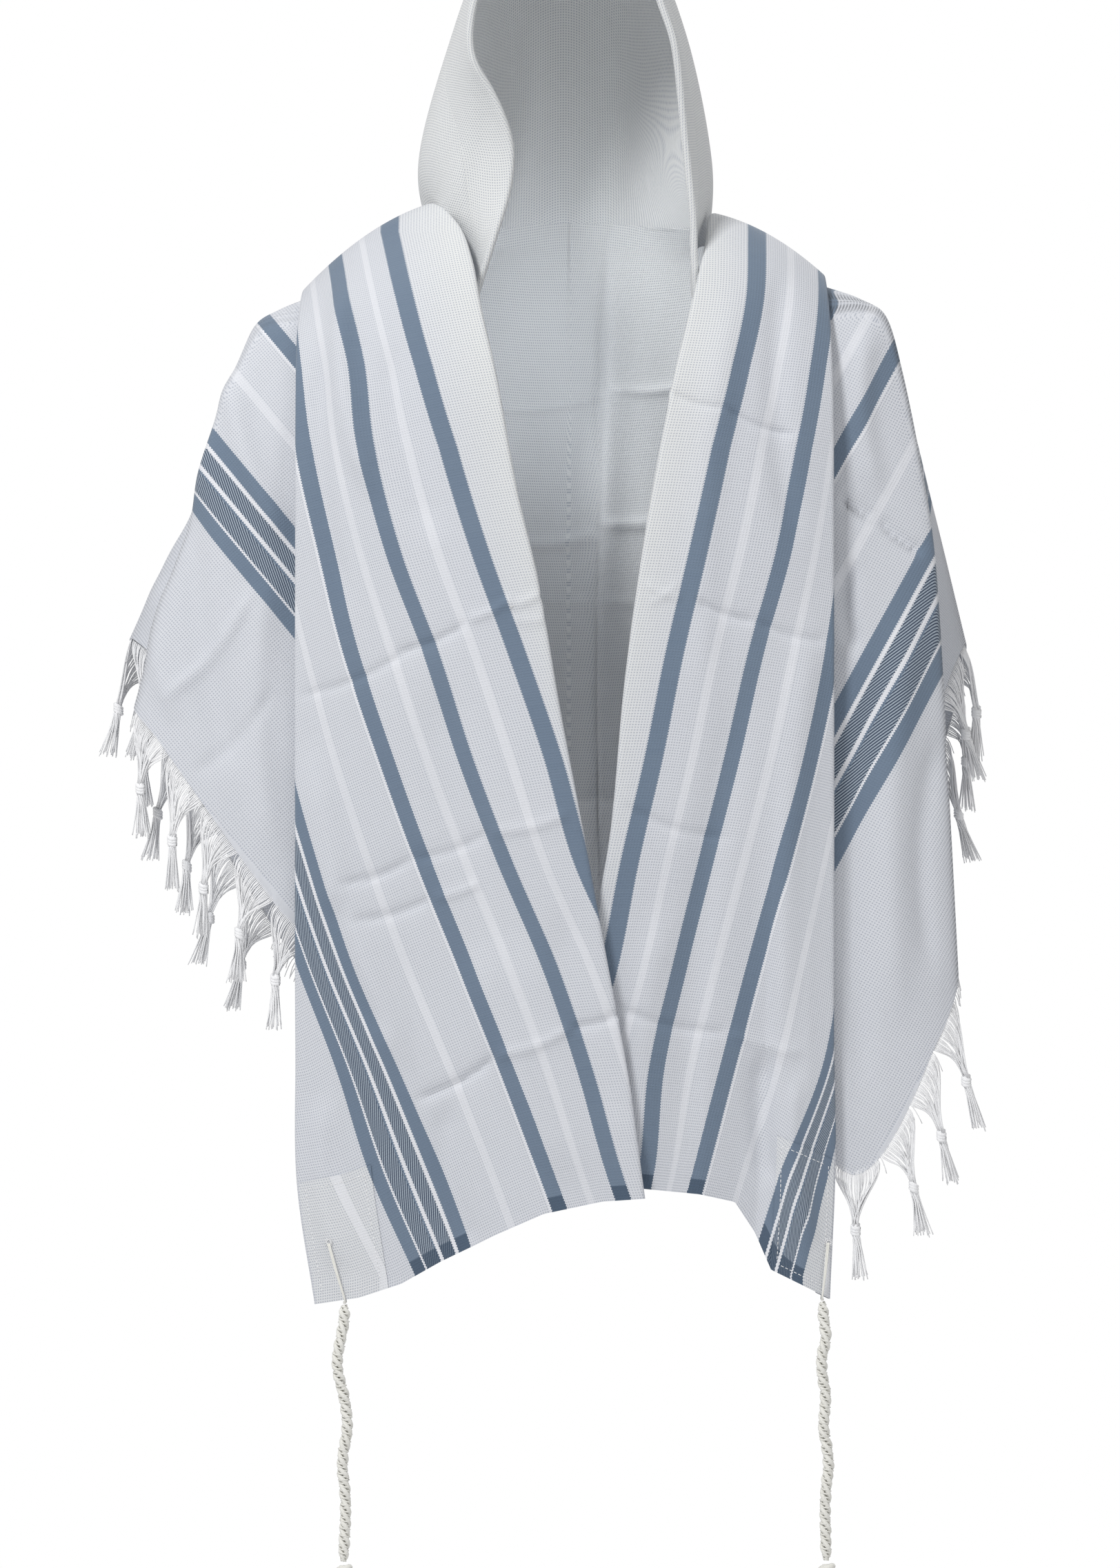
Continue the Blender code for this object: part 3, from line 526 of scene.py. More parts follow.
# The two halves of the cloth, each with its front panel, its sleeve drape and its fringe
Cut = namedtuple(
    "Cut",
    "name front hem front_stripes front_creases front_flat "
    "sleeve sleeve_stripes sleeve_creases sleeve_flat sleeve_area tassels",
)
CUTS = table(
    Cut,
    (
        "left", LEFT_FRONT, LEFT_HEM, LEFT_STRIPES, LEFT_CREASES, (0.30, 0.98),
        LEFT_SLEEVE, LEFT_SLEEVE_STRIPES, LEFT_SLEEVE_CREASES, (0.36, 0.60), 0.165, LEFT_TASSELS,
    ),
    (
        "right", RIGHT_FRONT, RIGHT_HEM, RIGHT_STRIPES, RIGHT_CREASES, (0.24, 0.98),
        RIGHT_SLEEVE, RIGHT_SLEEVE_STRIPES, RIGHT_SLEEVE_CREASES, (0.34, 0.72), 0.190, RIGHT_TASSELS,
    ),
)

# Corner patches and their sewing
PATCH_RISE = 0.0011
PATCH_FROM_ROW = 11 / 12
PATCH_FROM_COLUMN = 0.78
BACK_PATCH_FROM_ROW = 12 / 14
BACK_PATCH_COLUMNS = (0.05, 0.15)
SEAM_INSET = 2
STITCH_PITCH = 0.0042
STITCH = 0.0026
STITCH_R = 0.00035
STITCH_RISE = 0.0016
EYELET_RISE = 0.0020
EYELET_HOLE = 0.0020
EYELET = 0.0042
EYELET_ANGLES = (range(0, 360, 24), range(0, 361, 20))

# Corner strings and braids
STRING_D = 0.0026
STRING_GAP = 0.0006
STRING_BOW = 0.0015
STRING_TURN = 0.004
HEM_REACH_OF_STRINGS = 0.005
BRAID_NECK = 0.010
BRAID_STANDS_OUT = 0.002
BRAID_STEP = 0.016
END_KNOT_R = 0.0085
END_KNOT_RING = 0.62
END_THREADS = 8
END_THREAD_R = 0.0008
PLY_R = 0.0021
PLY_OUT = 0.0030
PLY_STEP = 0.0014
TWIST = 0.029
TWIST_DRIFT = 0.05
TWIST_DRIFTS_BY = 0.25
BRAID_LUMPS = 0.0145
LUMPS_SWELL_BY = 0.12
BRAID_TAPER = 0.012
NARROW_END = 0.45
WINDING_R = 0.00075
WINDING_PITCH = 0.0030
WINDING_POINTS = 10
WINDING_SITS_AT = 0.55
WINDING_UNEVEN = 0.04
Corner = namedtuple("Corner", "name eyelet hem braid")
CORNERS = (
    Corner(
        "front_left", (-0.211, -1.183), (-0.197, -1.2335),
        (
            (-0.2000, -1.265), (-0.2035, -1.290), (-0.1975, -1.318), (-0.1945, -1.345),
            (-0.199, -1.375), (-0.196, -1.410), (-0.198, -1.462),
        ),
    ),
    Corner(
        "front_right", (0.2275, -1.183), (0.2225, -1.2335),
        (
            (0.2260, -1.262), (0.2215, -1.290), (0.2255, -1.318), (0.2235, -1.345),
            (0.228, -1.375), (0.225, -1.410), (0.226, -1.462),
        ),
    ),
    Corner(
        "back_left", (-0.212, -0.928), (-0.206, -0.977),
        (
            (-0.207, -1.006), (-0.2035, -1.034), (-0.207, -1.062), (-0.204, -1.090),
            (-0.206, -1.120), (-0.203, -1.155), (-0.205, -1.205),
        ),
    ),
    Corner(
        "back_right", (0.210, -0.928), (0.204, -0.977),
        (
            (0.205, -1.006), (0.2015, -1.034), (0.205, -1.062), (0.202, -1.090),
            (0.204, -1.120), (0.201, -1.155), (0.203, -1.205),
        ),
    ),
)

# Camera and stage
CAMERA_PLACE = (-0.008, -8.1, -0.780)
VIEW_HEIGHT = 1.378
PLANE_Y = -0.1
FLOOR_Z = -1.75
FLOOR_R = 2.6
FLOOR_COLOUR = (0.82, 0.82, 0.83, 1)
SENSOR = 36
CLIP_END = 60
AMBIENT = 0.48
Light = namedtuple("Light", "name place size power")
LIGHTS = table(
    Light,
    ("key", (-1.9, -2.9, 2.6), 0.9, 138),
    ("fill", (2.6, -3.0, 0.2), 2.2, 14),
    ("rim", (0.8, 2.8, 1.4), 1.8, 30),
    ("inside", (-0.015, -0.015, -0.40), 0.12, 0.14),
)
LIGHTS_AIM = (0, 0, -0.7)
INSIDE_HEIGHT = 0.26
INSIDE_COLOUR = (0.90, 0.94, 1.0)


def unit(vectors):
    return vectors / np.maximum(np.linalg.norm(vectors, axis=-1, keepdims=True), 1e-12)


def smooth(rows, places, roundness=1.0):
    """The rows' values at places counted in rows from the first, on smooth curves through them all."""
    rows = np.array(rows, float)
    slopes = np.gradient(rows, axis=0) * roundness
    places = np.clip(np.asarray(places, float), 0, len(rows) - 1)
    i = np.minimum(places.astype(int), len(rows) - 2)
    f = (places - i).reshape(-1, *[1] * (rows.ndim - 1))
    return (
        rows[i] * (2 * f**3 - 3 * f**2 + 1)
        + slopes[i] * (f**3 - 2 * f**2 + f)
        + rows[i + 1] * (3 * f**2 - 2 * f**3)
        + slopes[i + 1] * (f**3 - f**2)
    )


def straight(grid, rows, columns):
    """The grid's values at new rows and columns, in straight lines between its own."""
    for axis, count in ((0, rows), (1, columns)):
        size = grid.shape[axis]
        places = np.linspace(0, size - 1, count)
        low = np.minimum(places.astype(int), size - 2)
        part = (places - low).reshape([-1 if a == axis else 1 for a in range(grid.ndim)])
        grid = np.take(grid, low, axis) * (1 - part) + np.take(grid, low + 1, axis) * part
    return grid


def travelled(grid, axis=0):
    """How far each point lies along its line of points, from the line's first one."""
    steps = np.linalg.norm(np.diff(grid, axis=axis), axis=-1)
    return np.concatenate([np.zeros_like(np.take(steps, [0], axis)), np.cumsum(steps, axis=axis)], axis)


def eased(share):
    return share * share * (3 - 2 * share)


def crossing(grid):
    """Unit normals of a grid of points, all on one side of it."""
    return unit(np.cross(np.gradient(grid, axis=1), np.gradient(grid, axis=0)))


def grid_normals(grid, outward):
    """Unit normals of a grid of points, on the side that outward points to."""
    normals = crossing(grid)
    return normals * np.sign((normals @ np.array(outward, float)).mean())


def turned_edge(edge, away, normal, width, side):
    """Rows of points that fold a sheet back on itself at an edge, under it for side -1, over it for 1."""
    centre = edge + normal * FOLD_R * side
    rows = []
    for angle in np.radians(FOLD_ANGLES):
        rows.append(centre + FOLD_R * (-side * normal * np.cos(angle) + away * np.sin(angle)))
    last = rows[-1]
    for share in np.arange(1, TURN_COLUMNS + 1) / TURN_COLUMNS:
        rows.append(last - away * (np.asarray(width) * share)[..., None])
    return rows


def creased(grid, outward, creases):
    """The grid moved outward by its creases."""
    normals = grid_normals(grid, outward)
    x, z = grid[..., 0], grid[..., 2]
    height = np.zeros_like(x)
    for c in creases:
        run = np.array((c.x2 - c.x1, c.z2 - c.z1))
        length = np.hypot(*run)
        run = run / length
        along = (x - c.x1) * run[0] + (z - c.z1) * run[1]
        bowed = min(CREASE_BEND * length, CREASE_BOW) * np.sin(np.pi * np.clip(along / length, 0, 1))
        off = (x - c.x1) * run[1] - (z - c.z1) * run[0] - bowed
        inside = np.minimum(along, length - along) / (CREASE_ENDS * length)
        ridge = c.height * eased(np.clip(inside + CREASE_STARTS_AT, 0, 1))
        rounded = np.exp(-((off / c.width) ** 2))
        if c.width < SHARP_WIDTH:
            reach = min(CREASE_REACH, length / 8)
            height += SHARP_CREASES * ridge * (0.8 * rounded + np.exp(-np.abs(off) / reach))
        else:
            height += SOFT_FOLDS * ridge * rounded
    return grid + normals * height[..., None]


def front_grid(sections, hem, across, down):
    """Points of a front panel between its two folds. across runs from 0 at the opening to 1 at the side."""
    across = np.array(across, float)
    values = smooth(sections, down)
    inner, outer = values[:, 0:3], values[:, 3:6]
    inset = unit(outer - inner) * (FOLD_R + CLOTH / 2)
    inner, outer = inner + inset, outer - inset
    grid = inner[:, None] + (outer - inner)[:, None] * across[None, :, None]
    bow = 4 * across * (1 - across)
    near_hem = np.clip((np.array(down) / (len(sections) - 1) - 1 + HEM_REACH) / HEM_REACH, 0, 1)
    hem = np.array(hem)
    rise, out = np.interp(across, hem[:, 0], hem[:, 1]), np.interp(across, hem[:, 0], hem[:, 2])
    grid[..., 2] += values[:, 6:7] * bow + near_hem[:, None] ** 1.5 * rise
    grid[..., 1] -= values[:, 7:8] * bow + near_hem[:, None] * out
    return grid


def under_front(sections, hem, down):
    """The point behind a front panel's turned side, at a place counted in sections from its top."""
    steps = np.array((-HOLD_STEP, 0, HOLD_STEP))
    near = front_grid(sections, hem, HOLD_AT + steps, down + steps)
    return near[1, 1] - grid_normals(near, OUTWARD)[1, 1] * UNDER_PANEL


def sleeve_lines(folds, sections, hem, back_edge):
    """The solid's own lines of points down a sleeve drape."""
    lines = []
    for fold in folds:
        held = [fold.top, fold.cap, fold.bend, fold.end]
        held[0] = fold.hold if fold.top is None else fold.top
        points = [p if isinstance(p, tuple) else under_front(sections, hem, p) for p in held]
        places = np.linspace(0, 3, SOLID_SLEEVE_COLUMNS)
        lines.append(smooth(points, places, SLEEVE_ROUNDNESS).ravel())
    outward = np.array((np.sign(back_edge[-1, 0]) * JOIN, 0, 0))
    lines.append((back_edge[-SOLID_SLEEVE_COLUMNS:] + outward).ravel())
    places = np.linspace(0, len(lines) - 1, SOLID_SLEEVE_ROWS)
    return smooth(lines, places).reshape(SOLID_SLEEVE_ROWS, SOLID_SLEEVE_COLUMNS, 3)


def arch_points(arch):
    """The nine points of one arch of the hood, left foot to right foot."""
    brow_y = arch.temple_y + (arch.crown_y - arch.temple_y) * BROW_SHARE
    brow_z = arch.crown_z + (arch.temple_z - arch.crown_z) * BROW_DROP
    brow = arch.temple * BROW_SHARE
    left = [
        (arch.foot_left, arch.foot_y, arch.foot_z),
        (arch.chin_left, arch.chin_y, arch.chin_z),
        (-arch.temple, arch.temple_y, arch.temple_z),
        (-brow, brow_y, brow_z),
    ]
    right = [
        (brow, brow_y, brow_z),
        (arch.temple, arch.temple_y, arch.temple_z),
        (arch.chin_right, arch.chin_y, arch.chin_z),
        (arch.foot_right, arch.foot_y, arch.foot_z),
    ]
    return left + [(0.0, arch.crown_y, arch.crown_z)] + right


def hood_grid(arches_at, columns):
    lines = [smooth(arch_points(a), np.linspace(0, 8, columns)).ravel() for a in HOOD]
    return smooth(lines, arches_at).reshape(len(arches_at), columns, 3)


def back_folds(grid):
    """The depth of the soft folds down the back at each point."""
    x, z = grid[..., 0], grid[..., 2]
    grown = np.clip((FOLDS_START_Z - z) / (FOLDS_START_Z - FOLDS_FULL_Z), 0, 1)
    depth = np.zeros_like(x)
    for fold in BACK_FOLDS:
        middle = fold.top_x + (fold.hem_x - fold.top_x) * grown
        depth += fold.depth * grown * np.exp(-(((x - middle) / fold.width) ** 2))
    return depth


def back_rows(columns, count):
    """Rows of points from the hood's last arch down to the hem, the first of them that arch itself."""
    nape = hood_grid([len(HOOD) - 1], columns)[0]
    across = np.linspace(-1, 1, columns)
    rows = [nape]
    for place in np.linspace(0, len(BACK) - 1, count):
        s = BackSection(*smooth(BACK, [place])[0])
        side = np.where(across < 0, 0, 1)[:, None]
        end = np.where(side, [s.right_x, s.right_y, s.right_z], [s.left_x, s.left_y, s.left_z])
        share = np.abs(across)
        row = np.empty((columns, 3))
        row[:, 0] = end[:, 0] * share
        row[:, 1] = s.middle_y + (end[:, 1] - s.middle_y) * share**SIDE_ROUNDING
        row[:, 2] = s.middle_z + (end[:, 2] - s.middle_z) * share**2
        rows.append(row)
    grid = np.stack(rows)
    grid[1:, 1:-1, 1] += back_folds(grid)[1:, 1:-1]
    grid[0, :, 2] -= JOIN
    grid[0, [0, -1], 0] += (-NAPE_SPREAD, NAPE_SPREAD)
    return grid


def shifted(values, step):
    """Each point's neighbour at that step in rows and columns, or a far one where there is none."""
    rows, columns = values.shape[:2]
    wide = np.full((rows + 2, columns + 2) + values.shape[2:], np.nan)
    wide[1:-1, 1:-1] = values
    return wide[1 + step[0] : rows + 1 + step[0], 1 + step[1] : columns + 1 + step[1]]


def distances(grid, known):
    """Distances over the cloth from the points where they are known, worked out triangle by triangle."""
    steps = ((-1, 0), (-1, 1), (0, 1), (1, 1), (1, 0), (1, -1), (0, -1), (-1, -1))
    pairs = []
    for a, b in zip(steps, steps[1:] + steps[:1]):
        to_a, to_b = shifted(grid, a) - grid, shifted(grid, b) - grid
        aa, bb, ab = (to_a**2).sum(-1), (to_b**2).sum(-1), (to_a * to_b).sum(-1)
        spread = np.maximum(aa * bb - ab**2, 1e-16)
        pairs.append((a, b, np.sqrt(aa), np.sqrt(bb), bb / spread, aa / spread, -ab / spread))
    fixed = ~np.isnan(known)
    found = np.where(fixed, known, 9.0)
    for _ in range(FIELD_ROUNDS):
        best = found.copy()
        for a, b, long_a, long_b, q_aa, q_bb, q_ab in pairs:
            at_a, at_b = shifted(found, a), shifted(found, b)
            q_1 = q_aa + q_bb + 2 * q_ab
            q_d = (q_aa + q_ab) * at_a + (q_bb + q_ab) * at_b
            q_dd = q_aa * at_a**2 + q_bb * at_b**2 + 2 * q_ab * at_a * at_b - 1
            root = q_d**2 - q_1 * q_dd
            through = (q_d + np.sqrt(np.maximum(root, 0))) / q_1
            over_a = q_aa * (at_a - through) + q_ab * (at_b - through)
            over_b = q_ab * (at_a - through) + q_bb * (at_b - through)
            inside = (root > 0) & (over_a <= 0) & (over_b <= 0)
            for value in (np.where(inside, through, 9.0), at_a + long_a, at_b + long_b):
                best = np.fmin(best, value)
        best[fixed] = known[fixed]
        if np.abs(best - found).max() < 1e-6:
            break
        found = best
    return found


def along_stripes(grid, w, start_column):
    """The cloth coordinate along the stripes, added up over the grid from one of its columns."""
    down, across = np.gradient(grid, axis=0), np.gradient(grid, axis=1)
    w_down, w_across = np.gradient(w, axis=0), np.gradient(w, axis=1)
    dd, aa, da = (down**2).sum(-1), (across**2).sum(-1), (down * across).sum(-1)
    area = np.maximum(dd * aa - da**2, 1e-16)
    slope = (
        ((aa * w_down - da * w_across) / area)[..., None] * down
        + ((dd * w_across - da * w_down) / area)[..., None] * across
    )
    stripe = unit(np.cross(crossing(grid), slope))
    row_steps = (np.diff(grid, axis=0) * (stripe[1:] + stripe[:-1]) / 2).sum(-1)
    column_steps = (np.diff(grid, axis=1) * (stripe[:, 1:] + stripe[:, :-1]) / 2).sum(-1)
    h = np.zeros(grid.shape[:2])
    h[1:, start_column] = np.cumsum(row_steps[:, start_column])
    for c in range(start_column + 1, grid.shape[1]):
        h[:, c] = h[:, c - 1] + column_steps[:, c - 1]
    for c in range(start_column - 1, -1, -1):
        h[:, c] = h[:, c + 1] - column_steps[:, c]
    upward = np.sign(((h - h.mean()) * (grid[..., 2] - grid[..., 2].mean())).sum())
    return h * upward


def stripe_field(grid, stripes, half):
    """The distance from the fringed end at each point of a front or the back, from its table of stripes."""
    table = np.array(stripes)
    x, z = grid[..., 0], grid[..., 2]
    places = np.interp(-z, -table[:, 0], np.arange(len(table)))
    lines = smooth(table[:, 1:], places.ravel()).reshape(*x.shape, 5)
    inward = np.sign(lines[..., 4] - lines[..., 0])
    lines, x = lines * inward[..., None], x * inward
    knots, marks = [lines[..., 0], lines[..., 1]], [BAND_OUT, BAND_IN]
    for number, stripe in ((2, STRIPE_3), (3, STRIPE_2), (4, STRIPE_1)):
        knots += [lines[..., number] - half, lines[..., number] + half]
        marks += [stripe - STRIPE_HALF, stripe + STRIPE_HALF]
    w = np.zeros_like(x)
    for i in range(len(knots) - 1):
        share = (x - knots[i]) / (knots[i + 1] - knots[i])
        beyond = share >= 0 if i else np.full(x.shape, True)
        w = np.where(beyond, marks[i] + share * (marks[i + 1] - marks[i]), w)
    return w


def sleeve_field(grid, stripes):
    """The distance from the fringed end at each point of a sleeve drape."""
    across = np.array((stripes.across_x, 0, stripes.across_z))
    folds = np.linspace(0, len(LEFT_SLEEVE), len(grid))
    edge = grid[:, -1] @ across
    reach = grid @ across - edge[(folds >= 1) & (folds <= 4)].mean()
    reaches = (-1, 0, stripes.band_out, stripes.band_in, stripes.stripe_3, stripes.stripe_3 + 1)
    w = np.interp(reach, reaches, (-1, 0, BAND_OUT, BAND_IN, STRIPE_3, STRIPE_3 + 1))
    lengths = travelled(grid[:, ::-1], 1)[:, ::-1]
    cap = grid.shape[1] // 3
    wrapped = w[np.abs(folds - stripes.straight_to).argmin(), cap] * lengths / lengths[:, [cap]]
    turn = eased(np.clip((folds - stripes.straight_to) / WRAP_FOLDS, 0, 1)[:, None])
    w = w * (1 - turn) + wrapped * turn
    rear = np.clip((folds - REAR_FOLD) / (len(LEFT_SLEEVE) - REAR_FOLD), 0, 1)[:, None]
    beside_back = BACK_CORNER + stripes.rear_rate * (grid - grid[:, -1:]) @ across
    return np.maximum(w * (1 - rear) + beside_back * rear, 0)


def shell(name, grid, w, h, material):
    """A thin sheet of cloth over a grid of points, with its cloth coordinates as its UV map."""
    rows, columns = grid.shape[:2]
    made = bpy.data.meshes.new(name)
    faces = [
        (r * columns + c, r * columns + c + 1, (r + 1) * columns + c + 1, (r + 1) * columns + c)
        for r in range(rows - 1)
        for c in range(columns - 1)
    ]
    made.from_pydata([tuple(p) for p in grid.reshape(-1, 3)], [], faces)
    made.shade_smooth()
    coordinates = np.stack([w.ravel(), h.ravel()], axis=1)
    corners = np.empty(len(made.loops), np.int32)
    made.loops.foreach_get("vertex_index", corners)
    made.uv_layers.new(name="cloth").data.foreach_set("uv", coordinates[corners].ravel())
    made.materials.append(material)
    ends = np.empty(2 * len(made.edges), np.int32)
    made.edges.foreach_get("vertices", ends)
    row, column = np.divmod(ends.reshape(-1, 2), columns)
    rim = ((row == 0) | (row == rows - 1)).all(axis=1) & (row[:, 0] == row[:, 1])
    rim |= ((column == 0) | (column == columns - 1)).all(axis=1) & (column[:, 0] == column[:, 1])
    made.attributes.new("sharp_edge", "BOOLEAN", "EDGE").data.foreach_set("value", rim)
    sheet = bpy.data.objects.new(name, made)
    bpy.context.scene.collection.objects.link(sheet)
    wall = sheet.modifiers.new("Wall", "SOLIDIFY")
    wall.thickness = SHELL
    wall.offset = 0.0
    return sheet


class Nodes:
    """A material's node tree, with short calls for the nodes that the cloth needs."""

    def __init__(self, name):
        self.material = bpy.data.materials.new(name)
        self.material.use_nodes = True
        self.tree = self.material.node_tree
        self.shader = self.tree.nodes["Principled BSDF"]

    def link(self, value, socket):
        if isinstance(value, bpy.types.NodeSocket):
            self.tree.links.new(value, socket)
        else:
            socket.default_value = value

    def math(self, operation, a, b=0.0, c=0.0, clamp=False):
        node = self.tree.nodes.new("ShaderNodeMath")
        node.operation, node.use_clamp = operation, clamp
        for value, socket in zip((a, b, c), node.inputs):
            self.link(value, socket)
        return node.outputs[0]

    def mix(self, factor, a, b):
        node = self.tree.nodes.new("ShaderNodeMix")
        node.data_type = "RGBA"
        self.link(factor, node.inputs["Factor"])
        self.link(a, node.inputs[6])
        self.link(b, node.inputs[7])
        return node.outputs[2]

    def noise(self, vector, stretch, scale=1.0, detail=2.0):
        """Noise over coordinates stretched by those amounts."""
        mapping = self.tree.nodes.new("ShaderNodeMapping")
        self.link(vector, mapping.inputs["Vector"])
        mapping.inputs["Scale"].default_value = stretch
        node = self.tree.nodes.new("ShaderNodeTexNoise")
        self.link(mapping.outputs[0], node.inputs["Vector"])
        node.inputs["Scale"].default_value = scale
        node.inputs["Detail"].default_value = detail
        return node.outputs["Fac"]

    def finish(self, roughness, specular, sheen):
        """The surface of soft matte threads."""
        self.shader.inputs["Roughness"].default_value = roughness
        self.shader.inputs["Specular IOR Level"].default_value = specular
        self.shader.inputs["Sheen Weight"].default_value = sheen
        return self.material

    def wave(self, value, pitch, phase=0.0):
        """A smooth wave from 0 to 1 with that pitch."""
        turn = self.math("MULTIPLY_ADD", value, 2 * math.pi / pitch, phase)
        return self.math("MULTIPLY_ADD", self.math("COSINE", turn), 0.5, 0.5)

    def step(self, value, edge, softness):
        """0 below the edge and 1 above it, soft over that width."""
        return self.math("MULTIPLY_ADD", self.math("SUBTRACT", value, edge), 1 / softness, 0.5, clamp=True)

    def bump(self, height, distance, strength=1.0):
        node = self.tree.nodes.new("ShaderNodeBump")
        node.inputs["Distance"].default_value = distance
        node.inputs["Strength"].default_value = strength
        self.link(height, node.inputs["Height"])
        self.link(node.outputs[0], self.shader.inputs["Normal"])


def band_masks(n, place, bands):
    """How blue, hatched and filled the cloth is at a distance from its fringed end."""
    stops, last = [], 0.0
    for band in bands:
        if band.start > last:
            stops.append((last, "plain"))
        stops.append((band.start, band.kind))
        last = band.end
    stops.append((last, "plain"))
    ramp = n.tree.nodes.new("ShaderNodeValToRGB")
    ramp.color_ramp.interpolation = "CONSTANT"
    n.link(n.math("MULTIPLY", place, 1 / BAND_RANGE), ramp.inputs[0])
    elements = ramp.color_ramp.elements
    elements.remove(elements[-1])
    elements[0].position, elements[0].color = 0.0, KIND_COLOURS["plain"]
    for start, kind in stops[1:]:
        elements.new(start / BAND_RANGE).color = KIND_COLOURS[kind]
    masks = n.tree.nodes.new("ShaderNodeSeparateColor")
    n.link(ramp.outputs[0], masks.inputs[0])
    return masks.outputs[0], masks.outputs[1], masks.outputs[2]


def woven_material(name, lean, warm=0.0, bands=BANDS):
    """An open square weave with the bands woven in. lean is the side that the hatched lines lean to."""
    n = Nodes(name)
    uv = n.tree.nodes.new("ShaderNodeUVMap")
    uv.uv_map = "cloth"
    parts = n.tree.nodes.new("ShaderNodeSeparateXYZ")
    n.link(uv.outputs[0], parts.inputs[0])
    w, h = parts.outputs[0], parts.outputs[1]
    stitch = n.math("SIGN", n.math("SINE", n.math("MULTIPLY", h, 2 * math.pi / WEAVE_PITCH)))
    blue, hatch, filled = band_masks(n, n.math("MULTIPLY_ADD", stitch, STITCHED_EDGE, w), bands)

    slub_w = n.noise(uv.outputs[0], SLUBS_ACROSS)
    slub_h = n.noise(uv.outputs[0], SLUBS_ALONG)
    cloudy = n.noise(uv.outputs[0], CLOUDS, detail=3)
    across = n.wave(n.math("MULTIPLY_ADD", slub_h, SLUB_WANDER, w), WEAVE_PITCH)
    along = n.wave(n.math("MULTIPLY_ADD", slub_w, SLUB_WANDER, h), WEAVE_PITCH)
    threads = n.math("MAXIMUM", across, along)
    fine = n.math("MULTIPLY", n.wave(w, WEAVE_PITCH / 4), n.wave(h, WEAVE_PITCH / 4))
    hole = n.math("SUBTRACT", 1.0, n.step(threads, HOLE_EDGE, HOLE_SOFT))
    open_weave = n.math("SUBTRACT", 1.0, n.math("ADD", blue, n.math("ADD", hatch, filled), clamp=True))
    hole = n.math("MULTIPLY", hole, open_weave)

    streak = n.math("MULTIPLY_ADD", slub_w, 0.5, n.math("MULTIPLY", slub_h, 0.5))
    tone = n.math("MULTIPLY_ADD", n.math("SUBTRACT", streak, 0.5), 0.5, 0.5)
    centre = n.math("MAXIMUM", n.step(w, CENTRE_FROM, CENTRE_SOFT), warm)
    thread = n.mix(n.math("MULTIPLY", centre, 0.8), n.mix(tone, THREAD_GREY, THREAD_WHITE), THREAD_WARM)
    ground = n.mix(cloudy, HOLE_DARK, HOLE_LIGHT)
    colour = n.mix(n.math("MULTIPLY", hole, 0.85), thread, ground)
    uneven = n.math("MULTIPLY_ADD", cloudy, 1.3, 0.2)
    colour = n.mix(n.math("MULTIPLY", filled, uneven, clamp=True), colour, SATIN)
    bars = n.math("MULTIPLY_ADD", cloudy, 0.6, n.math("MULTIPLY", slub_h, 0.5))
    blue_yarn = n.mix(n.math("MULTIPLY", fine, 0.15), n.mix(bars, BLUE_DARK, BLUE_LIGHT), BLUE_FLECK)
    colour = n.mix(blue, colour, blue_yarn)
    leaning = n.math("MULTIPLY", h, lean * math.sin(HATCH_SLANT))
    slant = n.math("MULTIPLY_ADD", w, math.cos(HATCH_SLANT), leaning)
    lines = n.step(n.wave(slant, HATCH_PITCH), HATCH_EDGE, HATCH_SOFT)
    colour = n.mix(hatch, colour, n.mix(lines, HATCH_LIGHT, HATCH_DARK))
    in_hem = n.math("SUBTRACT", 1.0, n.step(h, HEM_DEPTH, HEM_SOFT))
    hem_blue = n.math("MULTIPLY", in_hem, n.math("ADD", blue, hatch, clamp=True))
    colour = n.mix(n.math("MULTIPLY", hem_blue, 0.75), colour, HEM_BLUE)
    n.link(colour, n.shader.inputs["Base Color"])

    relief = n.math("MULTIPLY_ADD", fine, 0.25, n.math("MULTIPLY", threads, 0.75))
    n.bump(n.math("MULTIPLY_ADD", streak, 0.8, relief), RELIEF, 0.8)
    n.shader.inputs["Sheen Roughness"].default_value = 0.5
    return n.finish(roughness=0.82, specular=0.25, sheen=0.25)


def yarn_material(name, colour, dark, pitch):
    """Twisted yarn, with a fine slanting twist and patches of slight dirt."""
    n = Nodes(name)
    place = n.tree.nodes.new("ShaderNodeTexCoord").outputs["Object"]
    fibres = n.noise(place, (1, 1, 0.22), 1 / pitch, 3)
    patches = n.noise(place, (1, 1, 1), 60)
    tone = n.math("MULTIPLY_ADD", patches, 0.5, n.math("MULTIPLY", fibres, 0.4))
    n.link(n.mix(tone, dark, colour), n.shader.inputs["Base Color"])
    n.bump(fibres, FIBRE_RELIEF, 0.7)
    return n.finish(roughness=0.85, specular=0.2, sheen=0.3)


def tube_rings(points, radii, sides, turn=0.0):
    """Rings of points round a line."""
    points = np.asarray(points, float)
    tangents = unit(np.gradient(points, axis=0))
    side = unit(np.cross(tangents, (0.31, 0.92, 0.22)))
    up = np.cross(side, tangents)
    angles = turn + np.arange(sides) * 2 * np.pi / sides
    radii = np.broadcast_to(np.asarray(radii, float), (len(points),))
    round_it = side[:, None] * np.cos(angles)[None, :, None] + up[:, None] * np.sin(angles)[None, :, None]
    return points[:, None] + round_it * radii[:, None, None]


